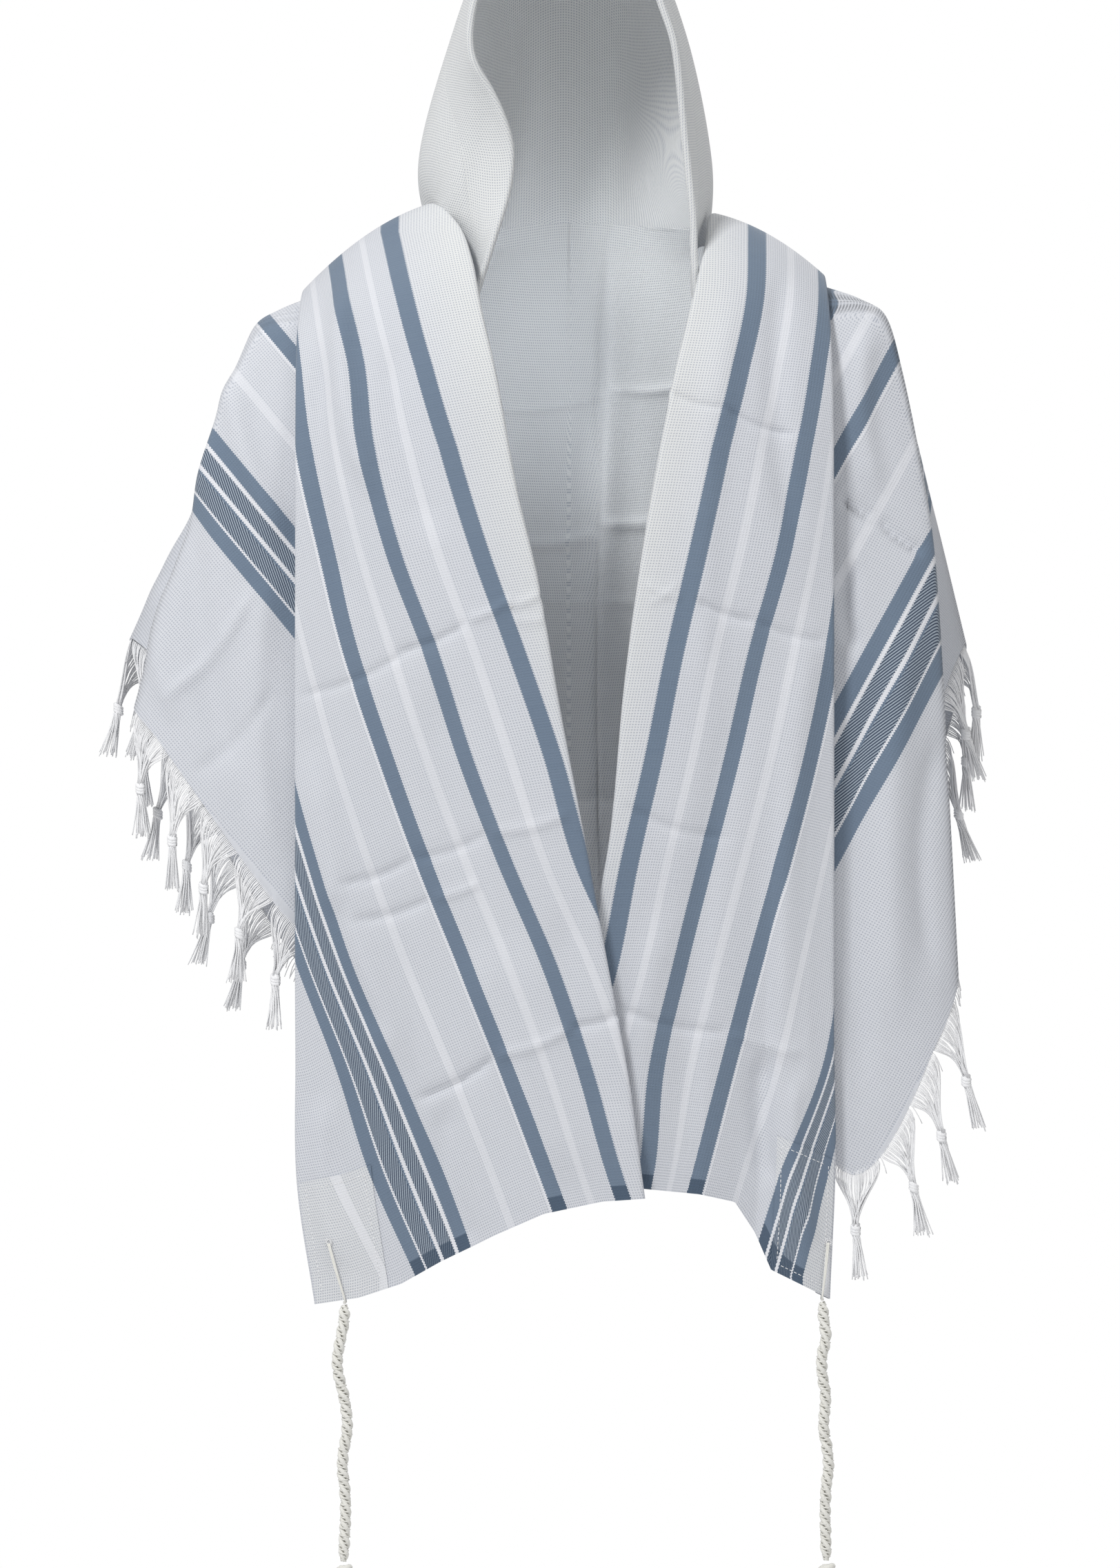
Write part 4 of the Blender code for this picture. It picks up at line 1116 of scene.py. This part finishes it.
class Threads:
    """Many thin tubes gathered in one mesh."""

    def __init__(self):
        self.points, self.faces = [], []

    def add(self, points, radii, sides=4, turn=0.0):
        rings = tube_rings(points, radii, sides, turn)
        first, count = sum(len(p) for p in self.points), len(rings)
        self.points.append(rings.reshape(-1, 3))
        for r in range(count - 1):
            for s in range(sides):
                t = (s + 1) % sides
                low, high = first + r * sides, first + (r + 1) * sides
                self.faces.append((low + s, low + t, high + t, high + s))
        self.faces.append(tuple(first + s for s in reversed(range(sides))))
        self.faces.append(tuple(first + (count - 1) * sides + s for s in range(sides)))

    def finish(self, name, material):
        made = bpy.data.meshes.new(name)
        made.from_pydata([tuple(p) for p in np.concatenate(self.points)], [], self.faces)
        made.shade_smooth()
        made.materials.append(material)
        piece = bpy.data.objects.new(name, made)
        bpy.context.scene.collection.objects.link(piece)
        return piece


def bezier(a, b, c, d, count):
    t = np.linspace(0, 1, count)[:, None]
    return a * (1 - t) ** 3 + 3 * b * t * (1 - t) ** 2 + 3 * c * t**2 * (1 - t) + d * t**3


def along(line, values, distance):
    """The values that belong to the line's points, at a distance along it."""
    lengths = travelled(line)
    return np.array([np.interp(distance, lengths, values[:, k]) for k in range(3)])


def fan(made, root, out, place, knot, fall, turn, fine):
    """Loose threads that leave the edge of the cloth and gather at a knot."""
    middle = along(root, root, place)
    for number in range(FAN_THREADS):
        share = 2 * number / (FAN_THREADS - 1) - 1
        at = place + share * FAN_HALF
        leave = unit(along(root, out, at))
        start = along(root, root, at) - leave * (STRIP + STRIP_GAP)
        scatter = fine.uniform(-1, 1, 3)
        end = knot + scatter * KNOT_R * 0.5 * LEVEL + DOWN * (-KNOT_R * 0.6)
        sag = 0.30 + 0.25 * abs(share)
        leaving = start + leave * FRINGE_DROP * 0.34 + scatter * FAN_SCATTER
        arriving = end - fall * FRINGE_DROP * sag + (start - middle) * 0.16
        made.add(bezier(start, leaving, arriving, end, 9), THREAD_R * fine.uniform(0.8, 1.15), 4, turn)


def tassel_knot(made, knot, fall, drop, turn):
    """A few wound turns round a core."""
    spin = np.linspace(0, 2 * np.pi * KNOT_TURNS, 12 * KNOT_TURNS)
    for lean in (0.0, 0.5):
        down_it = np.linspace(0.8, -0.8, len(spin)) + np.sin(spin + lean) * 0.3
        around = (np.cos(spin + turn) * KNOT_RING, np.sin(spin + turn) * KNOT_RING, down_it)
        made.add(knot + KNOT_R * np.stack(around, axis=1), KNOT_R * KNOT_YARN, 6)
    core = [knot + fall * -KNOT_R, knot, knot + drop * KNOT_R]
    made.add(core, [KNOT_R * 0.5, KNOT_R * 0.75, KNOT_R * 0.5], 6)


def tail(made, knot, drop, turn, fine):
    """The threads below a knot, twisted first and then open."""
    s = np.linspace(0, 1, TAIL_POINTS)
    opened = np.clip((s - TWISTED_TO) / (1 - TWISTED_TO), 0, 1)
    for number in range(TAIL_THREADS):
        angle = turn + number * GOLDEN_TURN
        turned = angle + TAIL_TURN * np.minimum(s / TWISTED_TO, 1)
        wide = TAIL_SPREAD * math.sqrt((number + 0.5) / TAIL_THREADS) * (0.42 + 0.58 * opened)
        around = np.stack([np.cos(turned) * wide, np.sin(turned) * wide, 0 * s], axis=1)
        curl = fine.uniform(-1, 1, 3) * TAIL_CURL * s[:, None] ** 2
        line = knot + drop * TAIL * fine.uniform(0.88, 1.03) * s[:, None] + around + curl
        made.add(line, np.linspace(1.0, 0.65, TAIL_POINTS) * THREAD_R * 1.3, 4, angle)


def stubs(made, root, out, places, fine):
    """Short threads along the edge where no tassel gathers it."""
    width = length_of(root)
    count = int(width / STUB_PITCH)
    for number in range(count):
        at = (number + 0.5) * width / count
        if min(abs(at - place) for place in places) < FAN_HALF:
            continue
        start, leave = along(root, root, at), unit(along(root, out, at))
        fall = (leave * 0.5 + DOWN) * STUB_DROP * fine.uniform(0.5, 1.1)
        tip = start + fall + fine.uniform(-1, 1, 3) * STUB_SCATTER
        made.add(bezier(start - leave * STRIP, start, (start + tip) / 2, tip, 5), THREAD_R * 0.8, 3)


def fringe(name, grid, tassels, material):
    """The fringed end of a sleeve drape: warp threads gathered to knots, with their tails below."""
    edge = grid[:, -1]
    down = unit(grid[:, -1] - grid[:, -2])
    tangent = unit(np.gradient(edge, axis=0))
    out = unit(down - tangent * (down * tangent).sum(axis=1, keepdims=True))
    root = edge + out * (STRIP_GAP + STRIP * 0.7)
    random = np.random.default_rng(SEED)
    fine = np.random.default_rng(SEED + 1)
    made = Threads()
    places = [first + number * TASSEL_PITCH for first, count in tassels for number in range(count)]
    for place in places:
        outward = unit(along(root, out, place))
        fall = unit(DOWN + LEAN_OUT * outward + random.uniform(-LEAN_ASIDE, LEAN_ASIDE, 3) * LEVEL)
        knot = along(root, root, place) + fall * FRINGE_DROP * random.uniform(0.94, 1.06)
        turn = random.uniform(0, 2)
        drop = unit(fall + DOWN + random.uniform(-TAIL_LEAN, TAIL_LEAN, 3) * LEVEL)
        # Three draws that nothing uses keep each tassel's own numbers as they are
        random.uniform(0.9, 1.05, 3)
        fan(made, root, out, place, knot, fall, turn, fine)
        tassel_knot(made, knot, fall, drop, turn)
        tail(made, knot, drop, turn, fine)
    stubs(made, root, out, places, fine)
    return made.finish(name, material)


def nearest_depth(grid, x, z):
    """The sheet's y at the grid point nearest to (x, z)."""
    flat = grid.reshape(-1, 3)
    gaps = np.hypot(flat[:, 0] - x, flat[:, 2] - z)
    near = np.argsort(gaps)[:4]
    weights = 1 / (gaps[near] + 1e-4)
    return float((flat[near, 1] * weights).sum() / weights.sum())


def corner_routes(corner, grid, outside, cloth_low):
    """(the strings' route over the hem, the braid's route), as in the solids."""
    off = CLOTH / 2 + PATCH + 2 * SEAM + STRING_D / 2 + STRING_GAP
    behind = off + (2 * FOLD_R + CLOTH / 2 if outside < 0 else 0)
    (eye_x, eye_z), (hem_x, hem_z) = corner.eyelet, corner.hem
    eye_y, hem_y = nearest_depth(grid, eye_x, eye_z), nearest_depth(grid, hem_x, hem_z)
    low = cloth_low - STRING_D / 2 - STRING_GAP
    route = [
        (eye_x, eye_y + outside * off, eye_z),
        ((eye_x + hem_x) / 2, (eye_y + hem_y) / 2 + outside * (off + STRING_BOW), (eye_z + hem_z) / 2),
        (hem_x, hem_y + outside * off, low + STRING_TURN),
        (hem_x, hem_y + outside * off * 0.6, low + STRING_TURN * 0.15),
        (hem_x, hem_y, low),
        (hem_x, hem_y - outside * behind * 0.6, low + STRING_TURN * 0.15),
        (hem_x, hem_y - outside * behind, low + STRING_TURN),
        (eye_x, eye_y - outside * behind, eye_z),
    ]
    start = (hem_x, hem_y, low - STRING_D / 2 - SEAM)
    points = [start, (hem_x, hem_y, start[2] - BRAID_NECK)]
    points += [(x, hem_y + outside * BRAID_STANDS_OUT, z) for x, z in corner.braid]
    points = np.array(points, float)
    lengths = travelled(points)
    count = int(lengths[-1] / BRAID_STEP) + 1
    places = np.interp(np.linspace(0, lengths[-1], count), lengths, np.arange(len(points)))
    return np.array(route), smooth(points, places)


def length_of(line):
    return float(np.linalg.norm(np.diff(line, axis=0), axis=1).sum())


def round_line(side, up, angle, radius):
    """Points at those angles and that radius round a line, counted from its own points."""
    return (side * np.cos(angle)[:, None] + up * np.sin(angle)[:, None]) * radius[:, None]


def twisted_cord(route, name, material, seed):
    """A corner braid: plies twisted round each other, bound by a thin winding thread."""
    fine = np.random.default_rng(seed)
    length = length_of(route)
    steps = int(length / PLY_STEP)
    line = smooth(route, np.linspace(0, len(route) - 1, steps))
    s = np.linspace(0, length, steps)
    tangents = unit(np.gradient(line, axis=0))
    side = unit(np.cross(tangents, (0.1, 1, 0.1)))
    up = np.cross(side, tangents)
    made = Threads()
    swell = 1 + LUMPS_SWELL_BY * np.sin(2 * np.pi * s / BRAID_LUMPS + fine.uniform(0, 6))
    narrow = np.minimum(1, NARROW_END + np.minimum(s, length - s) / BRAID_TAPER)
    for turn in np.radians(THIRDS):
        drift = TWIST_DRIFTS_BY * np.sin(2 * np.pi * s / TWIST_DRIFT)
        angle = 2 * np.pi * s / TWIST + turn + drift
        made.add(line + round_line(side, up, angle, PLY_OUT * swell * narrow), PLY_R * narrow, 7)
    turns = int(length / WINDING_PITCH)
    t = np.linspace(0, 1, turns * WINDING_POINTS)
    centre, side, up = (smooth(values, t * (steps - 1)) for values in (line, side, up))
    uneven = fine.uniform(-WINDING_UNEVEN, WINDING_UNEVEN, len(t))
    wobble = 1 + 0.10 * np.sin(t * turns * 2.7) + uneven
    angle = 2 * np.pi * turns * t + 0.5 * np.sin(t * 40)
    radius = (PLY_OUT + PLY_R * WINDING_SITS_AT) * wobble * np.interp(t * length, s, narrow)
    made.add(centre + round_line(side, up, angle, radius), WINDING_R, 4)
    return made.finish(name, material), line


def end_knot(centre, name, material, seed):
    """The knot at a braid's end: a few wound turns with short cut ends."""
    fine = np.random.default_rng(seed)
    made = Threads()
    r = END_KNOT_R * END_KNOT_RING
    spin = np.linspace(0, 2 * np.pi, 22)
    for tilt in (0.35, -0.3, 0.05):
        ring = (np.cos(spin), np.sin(spin), np.sin(spin + tilt * 5) * 0.35 + tilt)
        made.add(centre + r * np.stack(ring, axis=1), END_KNOT_R * 0.34, 7)
    made.add([centre + (0, 0, r), centre, centre - (0, 0, r)], [r * 0.7, r * 1.0, r * 0.6], 8)
    for number in range(END_THREADS):
        angle = number * GOLDEN_TURN
        away = np.array((math.cos(angle), math.sin(angle), 0)) * r * 0.6
        tip = centre + away * 1.2 + DOWN * END_KNOT_R * fine.uniform(0.7, 0.98)
        line = bezier(centre, centre + away * 0.6, centre + away + DOWN * r * 0.6, tip, 5)
        made.add(line, END_THREAD_R, 4)
    return made.finish(name, material)


def strings_mesh(route, name, material):
    """Two thin strings side by side, over the hem and up to the eyelet on both faces."""
    made = Threads()
    places = np.linspace(0, len(route) - 1, 60)
    line = smooth(route, places, 0.7)
    for side in (-1, 1):
        offset = np.array((side * STRING_D * 0.26, 0, 0)) * np.cos(np.linspace(0, 5, len(line)))[:, None]
        made.add(line + offset, STRING_D * 0.30, 6)
    return made.finish(name, material)


Panel = namedtuple("Panel", "grid normals w h")


def front_panel(name, cut, material):
    """A front panel's shell, with its plain middle for the patch and the strings."""
    down = np.linspace(0, len(cut.front) - 1, FRONT_DOWN)
    middle = front_grid(cut.front, cut.hem, np.linspace(0, 1, FRONT_ACROSS), down)
    field_down = np.linspace(0, len(cut.front) - 1, FIELD_ROWS)
    field = front_grid(cut.front, cut.hem, np.linspace(0, 1, FIELD_COLUMNS), field_down)
    known = np.full(field.shape[:2], np.nan)
    known[-1] = 0.0
    h = straight(distances(field, known), FRONT_DOWN, FRONT_ACROSS)
    w = stripe_field(middle, cut.front_stripes, FRONT_STRIPE_HALF)
    middle = creased(middle, OUTWARD, cut.front_creases)
    normals = grid_normals(middle, OUTWARD)
    share = down / (len(cut.front) - 1)
    near_hem = np.clip((share - SIDE_NARROWS_FROM) / (1 - SIDE_NARROWS_FROM), 0, 1)
    side_width = SIDE_TURN + (SIDE_TURN_AT_HEM - SIDE_TURN) * near_hem
    to_opening = unit(middle[:, 0] - middle[:, 1])
    to_side = unit(middle[:, -1] - middle[:, -2])
    opening_width = np.full(FRONT_DOWN, OPENING_TURN)
    opening = turned_edge(middle[:, 0], to_opening, normals[:, 0], opening_width, -1)
    side = turned_edge(middle[:, -1], to_side, normals[:, -1], side_width, -1)
    grid = np.stack(opening[::-1] + [middle[:, i] for i in range(FRONT_ACROSS)] + side, axis=1)

    first, last = len(opening), len(opening) + FRONT_ACROSS - 1
    lengths = travelled(grid, 1)
    apart = np.maximum(np.linalg.norm(np.gradient(middle, axis=1), axis=2), 1e-9)
    rates = np.gradient(w, axis=1) / apart
    under_opening = w[:, :1] + rates[:, :1] * (lengths[:, :first] - lengths[:, [first]])
    under_side = w[:, -1:] + rates[:, -1:] * (lengths[:, last + 1 :] - lengths[:, [last]])
    all_w = np.concatenate([under_opening, w, under_side], axis=1)
    all_h = h[:, np.clip(np.arange(grid.shape[1]) - first, 0, FRONT_ACROSS - 1)]
    behind = grid[0] + unit(grid[0] - grid[1]) * SHOULDER_OVERLAP + DOWN * SHELL
    grid = np.concatenate([behind[None], grid])
    all_w = np.concatenate([all_w[:1], all_w])
    all_h = np.concatenate([all_h[:1] + SHOULDER_OVERLAP, all_h])
    return shell(name, grid, all_w, all_h, material), Panel(middle, normals, w, h)


def sleeve(name, lines, cut, material):
    """A sleeve drape's shell."""
    grid = smooth(lines, np.linspace(0, len(lines) - 1, SLEEVE_AROUND))
    columns = np.linspace(0, lines.shape[1] - 1, SLEEVE_DOWN)
    grid = np.swapaxes(smooth(np.swapaxes(grid, 0, 1), columns), 0, 1)
    w = sleeve_field(grid, cut.sleeve_stripes)
    h = along_stripes(grid, w, SLEEVE_DOWN * 2 // 3) + 1.0
    grid = creased(grid, (np.sign(lines[0, 0, 0]), 0, 0), cut.sleeve_creases)
    return shell(name, grid, w, h, material)


def back_panel(name, material):
    """The back's shell, with the stripes of both halves coming down from the shoulders."""
    grid = back_rows(BACK_ACROSS, BACK_DOWN)
    h = travelled(grid[::-1])[::-1]
    left, right = (
        stripe_field(grid, stripes, BACK_STRIPE_HALF) for stripes in (LEFT_BACK_STRIPES, RIGHT_BACK_STRIPES)
    )
    w = np.where(grid[..., 0] < 0, left, right)
    grid = creased(grid, BACKWARD, BACK_CREASES)
    return shell(name, grid, w, h, material), Panel(grid, grid_normals(grid, BACKWARD), w, h)


def hood(name, material):
    """The hood's shell with its turned-back front edge."""
    wall = hood_grid(np.linspace(0, len(HOOD) - 1, HOOD_BACK), HOOD_AROUND)
    normals = crossing(wall)
    normals *= np.sign(normals[2, HOOD_AROUND // 2, 2])
    wall = creased(wall, normals[2, HOOD_AROUND // 2], HOOD_CREASES)
    away = unit(wall[0] - wall[1])
    width = np.interp(np.linspace(0, 1, HOOD_AROUND), np.linspace(0, 1, len(LAPEL)), LAPEL)
    turn = turned_edge(wall[0], away, normals[0], width, 1)[: len(FOLD_ANGLES)]
    lengths = travelled(wall)
    column = np.arange(HOOD_AROUND)
    lapel = []
    for share in np.arange(LAPEL_STEPS, 0, -1) / LAPEL_STEPS:
        place = np.array([np.interp(share * width[c], lengths[:, c], np.arange(HOOD_BACK)) for c in column])
        low = np.minimum(place.astype(int), HOOD_BACK - 2)
        part = (place - low)[:, None]
        points = wall[low, column] * (1 - part) + wall[low + 1, column] * part
        out = unit(normals[low, column] * (1 - part) + normals[low + 1, column] * part)
        lapel.append(points + out * (2 * FOLD_R * (1 - share) + LAPEL_LIES * share))
    below = wall[-1] + unit(wall[-1] - wall[-2]) * NAPE_OVERLAP + normals[-1] * SHELL
    grid = np.stack(lapel + turn[::-1] + list(wall) + [below])
    w = travelled(grid, 1)
    w = w - w[:, [HOOD_AROUND // 2]] + 1.5
    return shell(name, grid, w, travelled(grid) + 1.0, material)


def patch_shell(name, panel, rows, columns, material):
    """A corner patch: a second layer of cloth on the panel, sewn down round its border."""
    part = (slice(*rows), slice(*columns))
    grid, normals = panel.grid[part], panel.normals[part]
    patch = shell(name, grid + normals * PATCH_RISE, panel.w[part], panel.h[part], material)
    seam = Threads()
    first, last, between = SEAM_INSET, -1 - SEAM_INSET, slice(SEAM_INSET, -SEAM_INSET)
    for border in ((first, between), (between, first), (between, last), (last, between)):
        line, out = grid[border], normals[border]
        for start in np.arange(int(length_of(line) / STITCH_PITCH)) * STITCH_PITCH:
            ends = (start, start + STITCH)
            seam.add([along(line, line + out * STITCH_RISE, end) for end in ends], STITCH_R, 4)
    return patch, seam


def add_eyelet(seam, panel, place):
    """Small stitches round the hole of the strings."""
    gaps = np.hypot(panel.grid[..., 0] - place[0], panel.grid[..., 2] - place[1])
    row, column = np.unravel_index(gaps.argmin(), gaps.shape)
    out = panel.normals[row, column]
    centre = panel.grid[row, column] + out * EYELET_RISE
    side = unit(np.cross(out, DOWN))
    up = np.cross(side, out)
    rays, rim = (
        [side * math.cos(a) + up * math.sin(a) for a in np.radians(angles)] for angles in EYELET_ANGLES
    )
    for ray in rays:
        seam.add([centre + ray * EYELET_HOLE, centre + ray * EYELET], STITCH_R, 4)
    seam.add([centre + ray * EYELET_HOLE for ray in rim], STITCH_R * 1.3, 5)


def linked(name, data, place):
    made = bpy.data.objects.new(name, data)
    made.location = place
    bpy.context.scene.collection.objects.link(made)
    return made


def set_stage():
    """Camera, floor and soft light."""
    camera = linked("camera", bpy.data.cameras.new("camera"), CAMERA_PLACE)
    camera.data.sensor_fit = "VERTICAL"
    camera.data.sensor_height = SENSOR
    camera.data.lens = SENSOR * (PLANE_Y - CAMERA_PLACE[1]) / VIEW_HEIGHT
    camera.data.clip_end = CLIP_END
    camera.rotation_euler = (math.pi / 2, 0, 0)
    bpy.context.scene.camera = camera

    place = (0, 0, FLOOR_Z)
    bpy.ops.mesh.primitive_circle_add(vertices=96, radius=FLOOR_R, fill_type="NGON", location=place)
    floor = bpy.context.object
    floor.name = "floor"
    n = Nodes("pale_floor")
    n.shader.inputs["Base Color"].default_value = FLOOR_COLOUR
    n.shader.inputs["Roughness"].default_value = 0.9
    floor.data.materials.append(n.material)

    world = bpy.data.worlds.new("studio")
    world.use_nodes = True
    bpy.context.scene.world = world
    background = world.node_tree.nodes["Background"]
    background.inputs["Color"].default_value = (1.0, 1.0, 1.0, 1)
    rays = world.node_tree.nodes.new("ShaderNodeLightPath")
    level = world.node_tree.nodes.new("ShaderNodeMapRange")
    level.inputs["To Min"].default_value = AMBIENT
    level.inputs["To Max"].default_value = 1.0
    world.node_tree.links.new(rays.outputs["Is Camera Ray"], level.inputs["Value"])
    world.node_tree.links.new(level.outputs[0], background.inputs["Strength"])
    bpy.context.scene.view_settings.view_transform = "Standard"
    for spot in LIGHTS:
        light = linked(spot.name, bpy.data.lights.new(spot.name, "AREA"), spot.place)
        light.data.size, light.data.energy = spot.size, spot.power
        aim = np.array(LIGHTS_AIM) - np.array(spot.place)
        yaw, pitch = math.atan2(aim[1], aim[0]), math.atan2(aim[2], math.hypot(aim[0], aim[1]))
        light.rotation_euler = (math.pi / 2 + pitch, 0, yaw - math.pi / 2)
    light.data.shape, light.data.size_y = "RECTANGLE", INSIDE_HEIGHT
    light.data.color = INSIDE_COLOUR
    light.rotation_euler = (math.pi / 2, 0, 0)
    light.visible_camera = light.visible_glossy = False


def put(piece, node):
    """Hide the solid that a piece takes the place of, and attach the piece to the root body."""
    if node:
        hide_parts(node)
    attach(piece, "root")


def dress_side(cut, cloth, yarn, solid_back):
    """One half's front panel, sleeve drape and fringe."""
    piece, panel = front_panel(cut.name + "_front_cloth", cut, cloth)
    put(piece, cut.name + "_front")
    back_edge = solid_back[:, 0 if cut.name == "left" else -1]
    lines = sleeve_lines(cut.sleeve, cut.front, cut.hem, back_edge)
    piece = sleeve(cut.name + "_sleeve_cloth", lines, cut, cloth)
    put(piece, cut.name + "_sleeve")
    threads = fringe(cut.name + "_fringe_threads", lines, cut.tassels, yarn)
    put(threads, cut.name + "_fringe")
    return panel


def dress_corner(corner, panel, cloth, yarn, cord):
    """One corner's patch, stitches, strings, braid and end knot."""
    rows, columns = panel.grid.shape[:2]
    outside = -1 if corner.name.startswith("front") else 1
    if outside < 0:
        down = (int(rows * PATCH_FROM_ROW), rows)
        across = (int(columns * PATCH_FROM_COLUMN), columns)
    else:
        down = (int(rows * BACK_PATCH_FROM_ROW), rows)
        across = tuple(int(columns * share) for share in BACK_PATCH_COLUMNS)
        if corner.name == "back_right":
            across = (columns - across[1], columns - across[0])
    patch, seam = patch_shell("patch_cloth_" + corner.name, panel, down, across, cloth)
    add_eyelet(seam, panel, corner.eyelet)
    put(patch, "patch_" + corner.name)
    put(seam.finish("patch_stitches_" + corner.name, yarn), None)

    hem_line = panel.grid[-1][np.argsort(panel.grid[-1, :, 0])]
    places = corner.hem[0] + np.linspace(-HEM_REACH_OF_STRINGS, HEM_REACH_OF_STRINGS, 5)
    lowest = np.interp(places, hem_line[:, 0], hem_line[:, 2]).min()
    route, braid_route = corner_routes(corner, panel.grid, outside, float(lowest))
    strings = strings_mesh(route, "strings_cord_" + corner.name, cord)
    put(strings, "strings_" + corner.name)
    braid, line = twisted_cord(braid_route, "braid_cord_" + corner.name, cord, SEED + len(corner.name))
    put(braid, "braid_" + corner.name)
    low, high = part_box("braid_knot_" + corner.name)
    knot = end_knot((np.array(low) + np.array(high)) / 2, "end_knot_" + corner.name, cord, SEED)
    put(knot, "braid_knot_" + corner.name)


def dress():
    """Every visible piece, on its solid's place."""
    left_cloth = woven_material("woven_cloth_left", -1)
    right_cloth = woven_material("woven_cloth_right", 1)
    plain_cloth = woven_material("woven_cloth_centre", -1)
    warm_cloth = woven_material("woven_cloth_hood", -1, 0.4)
    patch_cloth = woven_material("corner_patch_cloth", -1, 0.5, PATCH_BANDS)
    yarn = yarn_material("fringe_yarn", YARN_LIGHT, YARN_DARK, YARN_PITCH)
    cord = yarn_material("braided_cord", CORD_LIGHT, CORD_DARK, CORD_PITCH)
    solid_back = back_rows(SOLID_HOOD_COLUMNS, SOLID_BACK_ROWS)

    piece = hood("hood_cloth", warm_cloth)
    put(piece, "hood")
    panels = {}
    for cut, cloth in zip(CUTS, (left_cloth, right_cloth)):
        panels["front_" + cut.name] = dress_side(cut, cloth, yarn, solid_back)
    piece, panel = back_panel("back_cloth", plain_cloth)
    put(piece, "back")
    panels["back_left"] = panels["back_right"] = panel
    for corner in CORNERS:
        dress_corner(corner, panels[corner.name], patch_cloth, yarn, cord)


set_stage()
dress()
